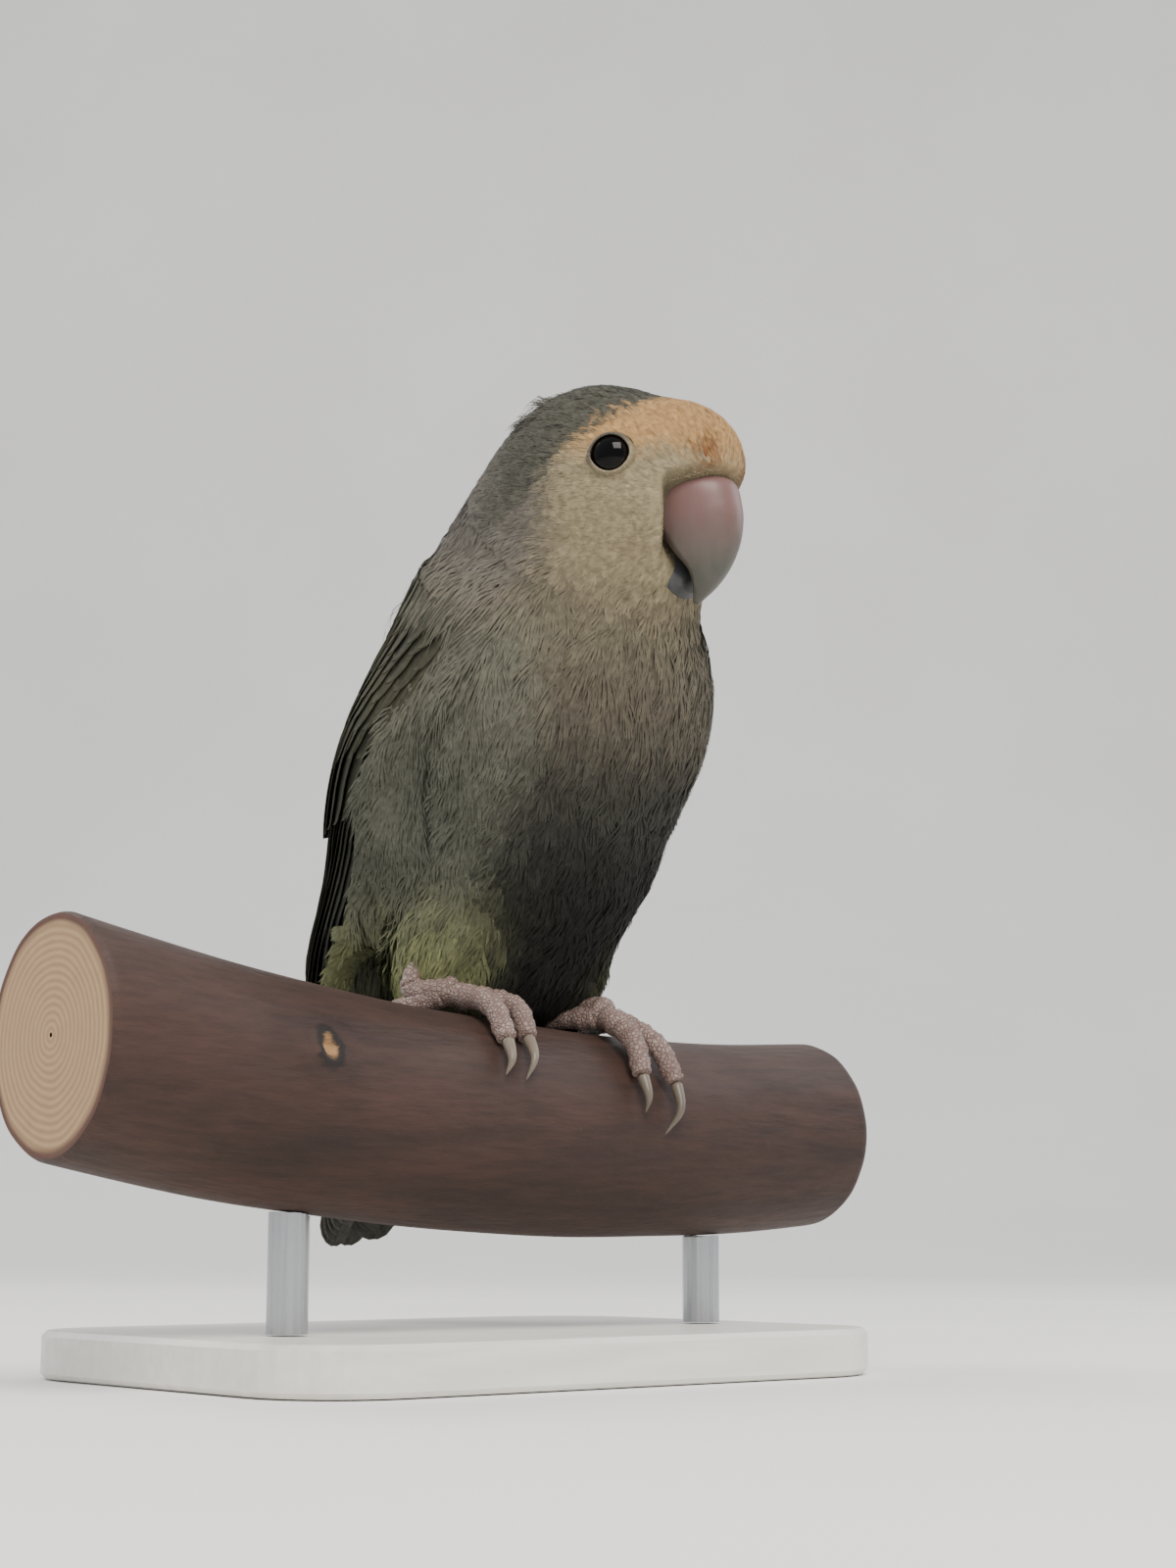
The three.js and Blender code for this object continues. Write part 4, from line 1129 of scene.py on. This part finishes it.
def makeBranch(bark, cutWood):
    rows, columns = branch["rows"], branch["columns"]
    angles = np.linspace(-180, 180, columns + 1)[:-1]
    x, angle = crossed(np.linspace(branch["from"], branch["to"], rows), angles)
    waves = sum(high * np.sin(x / long + np.radians(angle) * number + rng.uniform(0, 6.3))
                for high, long, number in branch["waves"])
    apart = fromKnot(x, angle)
    dent = 0.55 * bell(apart, 1.9) + 0.25 * np.sin(apart * 2.2) * bell(apart, 4.2)
    wearAndSheen = 0.5 * (1 - smooth(np.minimum(x - branch["from"], branch["to"] - x), 0, 0.9))  # at the cut ends
    grid = overBranch(x, angle, waves * 0.6 - dent - wearAndSheen - 0.15)
    scar = bell(fromKnot(x, angle, 1.5), 2.9).ravel()
    side = buildMesh("branch", grid.reshape(-1, 3), [gridFaces(rows, columns, True)], bark,
                     extra={"scar": scar})
    dress(side, "branch_bark", "perch")
    for name, ring in (("right", grid[0]), ("left", grid[-1])):
        middle, shares = ring.mean(0), np.linspace(1, 0.02, 14)
        disc = middle + (ring[None] - middle) * shares[:, None, None]
        cap = buildMesh(f"branchEnd_{name}", disc.reshape(-1, 3), [gridFaces(14, columns, True)], cutWood,
                        extra={"ring": np.repeat(shares, columns)})
        dress(cap, "branch_bark")


# Lines over the branch: place along it, angle round it and height over the bark. A claw goes on from its toe
legs = {
    "tarsusRadius": 2.2,
    "toeRadius": 1.7,
    "clawRadius": 0.95,
    "right": {
        "tarsus": [(-14.5, -8, 15), (-19.6, -18, 5.2), (-16.3, 3, 3.6)],
        "toes": [
            [(-15.6, 3, 3.2), (-11.6, 25, 3.2), (-12.7, 46, 1.9)],
            [(-17, 3, 3.2), (-16.4, 27, 3.1), (-17.3, 50, 1.9)],
            [(-17.8, -2, 3), (-22.5, -35, 2.5), (-23.5, -58, 1.9)],
            [(-15, -1, 2.8), (-12.4, -26, 2.3), (-12, -40, 1.9)]],
        "claws": [
            [(-13.8, 60, 2.2), (-15.4, 70, 0.8)], [(-18.2, 62, 2), (-19.2, 69, 0.8)],
            [(-23.8, -72, 2.1), (-23.8, -80, 0.8)], [(-11.8, -52, 2), (-11.8, -59, 0.8)]],
    },
    "left": {
        "tarsus": [(8.5, -16, 14), (8.8, -8, 5.2), (9.4, 17, 3.6)],
        "toes": [
            [(8.8, 18, 3.2), (8.4, 42, 3.1), (7.8, 61, 1.9)],
            [(10, 18, 3.2), (12.6, 44, 3.2), (14.4, 64, 1.9)],
            [(11, 14, 3), (15.4, -20, 2.5), (16.6, -46, 1.9)],
            [(8.2, 14, 2.8), (5.6, -10, 2.3), (5, -27, 1.9)]],
        "claws": [
            [(7.6, 73, 2.1), (7.6, 80, 0.8)], [(13.6, 79, 2.3), (11.4, 91, 0.8)],
            [(16.9, -60, 2.1), (16.9, -68, 0.8)], [(4.8, -39, 2), (4.8, -46, 0.8)]],
    },
}


# A tube with closed ends, raised scutes on its outer side and pads on the side that meets the bark
def tubeSheet(points, radiusAt, rows, columns, scutes=0, pads=0):
    t = np.linspace(0, 1, rows)
    centre = along(points, t)
    tangent = unit(along(points, t + 0.01) - along(points, t - 0.01))
    up = centre - np.stack([centre[:, 0], 0 * t, branchAxis(centre[:, 0])], 1)
    up = unit(up - tangent * dot(up, tangent))
    side = np.cross(tangent, up)
    turn = turns(columns)
    outside, inside = np.clip(np.cos(turn), 0, 1), np.clip(-np.cos(turn), 0, 1)
    r = radiusAt(t)[:, None] * np.ones((1, columns))
    if scutes:
        r = r * (1 + 0.13 * (0.5 - (t * scutes) % 1)[:, None] * outside[None] ** 0.5)
    if pads:
        r = r * (1 + 0.14 * np.abs(np.sin(t * pads * math.pi))[:, None] * inside[None])
    cap = np.sqrt(np.clip(1 - (1 - np.minimum(1, np.minimum(t, 1 - t) * rows / 3.2)) ** 2, 0.02, 1))
    r = r * cap[:, None]
    grid = centre[:, None] + r[..., None] * spokes(turn, up[:, None], side[:, None])
    return grid.reshape(-1, 3), gridFaces(rows, columns, True)


def joinTubes(name, tubes, material):
    starts = np.cumsum([0] + [len(points) for points, _ in tubes[:-1]])
    return buildMesh(name, np.concatenate([points for points, _ in tubes]),
                     [np.concatenate([faces + start for (_, faces), start in zip(tubes, starts)])], material)


def overBark(line):
    return overBranch(*np.array(line, float).T)


def tarsusRadius(t):
    return legs["tarsusRadius"] * (1 + 0.1 * np.cos(t * 6.3))


def toeRadius(t):  # three joints, thinner to the end
    return legs["toeRadius"] * (1 - 0.16 * t + 0.1 * np.cos(t * 3 * 6.28) ** 2)


def clawRadius(t):
    return legs["clawRadius"] * 1.05 * (1 - 0.9 * t ** 1.3)


def makeFeet(skin, horn):
    for name in ("right", "left"):
        plan = legs[name]
        tubes = [tubeSheet(overBark(plan["tarsus"]), tarsusRadius, 60, 28, scutes=11)]
        tubes += [tubeSheet(overBark(line), toeRadius, 84, 26, scutes=15, pads=3) for line in plan["toes"]]
        dress(joinTubes(f"footSkin_{name}", tubes, skin), "foot_skin", f"foot_{name}")
        for i, (toe, line) in enumerate(zip(plan["toes"], plan["claws"])):
            claw = joinTubes(f"claw_horn_{name}_{i + 1}",
                             [tubeSheet(overBark([toe[-1], *line]), clawRadius, 40, 20)], horn)
            dress(claw, "claw_horn", f"claw_{name}_{i + 1}")


# Stand, floor and lights

def finishStand():
    paint, steel = standMaterials()
    for node, material in (("stand_base", paint), ("stand_rod_1", steel), ("stand_rod_2", steel)):
        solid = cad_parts[node]
        for slotOf in solid.material_slots:
            slotOf.material = material


room = {  # in metres and watts
    "floor": ("efedea", "f4f3f0"), "half": 3.0, "below": 0.0002,
    "wallAt": 0.9, "bend": 0.8, "wall": 2.2, "turn": -40,  # the backdrop faces the camera
    "world": (0.78, 0.8, 0.84), "worldStrength": 0.95,
    "aim": (0, 0, 0.1),
    "lights": [  # place, size, power and colour
        ((-0.35, -0.75, 0.95), 0.6, 17.0, (1.0, 0.95, 0.88)),
        ((0.85, -0.35, 0.55), 0.7, 4.0, (0.9, 0.95, 1.0)),
        ((-0.3, 0.8, 0.75), 0.6, 6.0, (1.0, 0.98, 0.95)),
    ],
}


def makeRoom():
    material, wire, shader = newMaterial("studioFloor", Roughness=0.75)
    feed(wire, shader, Base_Color=noise(wire, wire.where(), 6.0).between(0.2, 0.8).mix(*room["floor"]))
    half, wallAt, bend = room["half"], room["wallAt"], room["bend"]
    profile = [(-half, 0.0), (wallAt, 0.0)]
    for a in np.linspace(0, math.pi / 2, 16)[1:]:
        profile.append((wallAt + bend * math.sin(a), bend * (1 - math.cos(a))))
    profile.append((wallAt + bend, room["wall"]))
    turn = Matrix.Rotation(math.radians(room["turn"]), 3, "Z")
    points = [turn @ Vector((x, y, z - room["below"])) for y, z in profile for x in (-half, half)]
    mesh = bpy.data.meshes.new("studioFloor")
    mesh.from_pydata(points, [], [(2 * i, 2 * i + 1, 2 * i + 3, 2 * i + 2) for i in range(len(profile) - 1)])
    mesh.polygons.foreach_set("use_smooth", [True] * len(mesh.polygons))
    mesh.materials.append(material)
    floor = bpy.data.objects.new("studioFloor", mesh)
    bpy.context.scene.collection.objects.link(floor)
    world = bpy.data.worlds.new("studio")
    bpy.context.scene.world = world
    world.use_nodes = True
    sky = world.node_tree.nodes["Background"]
    sky.inputs["Color"].default_value = (*room["world"], 1)
    sky.inputs["Strength"].default_value = room["worldStrength"]
    for i, (at, size, power, colour) in enumerate(room["lights"]):
        data = bpy.data.lights.new(f"softbox{i + 1}", "AREA")
        data.size, data.energy, data.color = size, power, colour
        lamp = bpy.data.objects.new(f"softbox{i + 1}", data)
        bpy.context.scene.collection.objects.link(lamp)
        lamp.location = at
        lamp.rotation_euler = (Vector(room["aim"]) - Vector(at)).to_track_quat("-Z", "Y").to_euler()


makeCamera()
makeRoom()
print("camera and room done")
feathers = plumageMaterial("featherCoat")
skinValues = makeSkin(feathers)
print("skin done")
makeCoat(feathers, skinValues)
vanes = plumageMaterial("featherVanes", roughness=0.62, weft=True)
for wingName, wingSide in (("right", -1), ("left", 1)):
    makeWing(wingName, wingSide, vanes)
makeTail(vanes)
print("wings and tail done")
makeEyes(eyeMaterial(), lidMaterial())
makeBill("billUpper", bill["upper"], 0.14, hornMaterial("upperBillHorn"), "upper_bill_horn", "bill_upper")
makeBill("billLower", bill["lower"], -0.3, hornMaterial("lowerBillHorn"), "lower_bill_horn", "bill_lower")
print("head parts done")
makeBranch(barkMaterial(), cutWoodMaterial())
makeFeet(footMaterial(), hornMaterial("clawHorn"))
finishStand()
print("branch, feet and stand done")
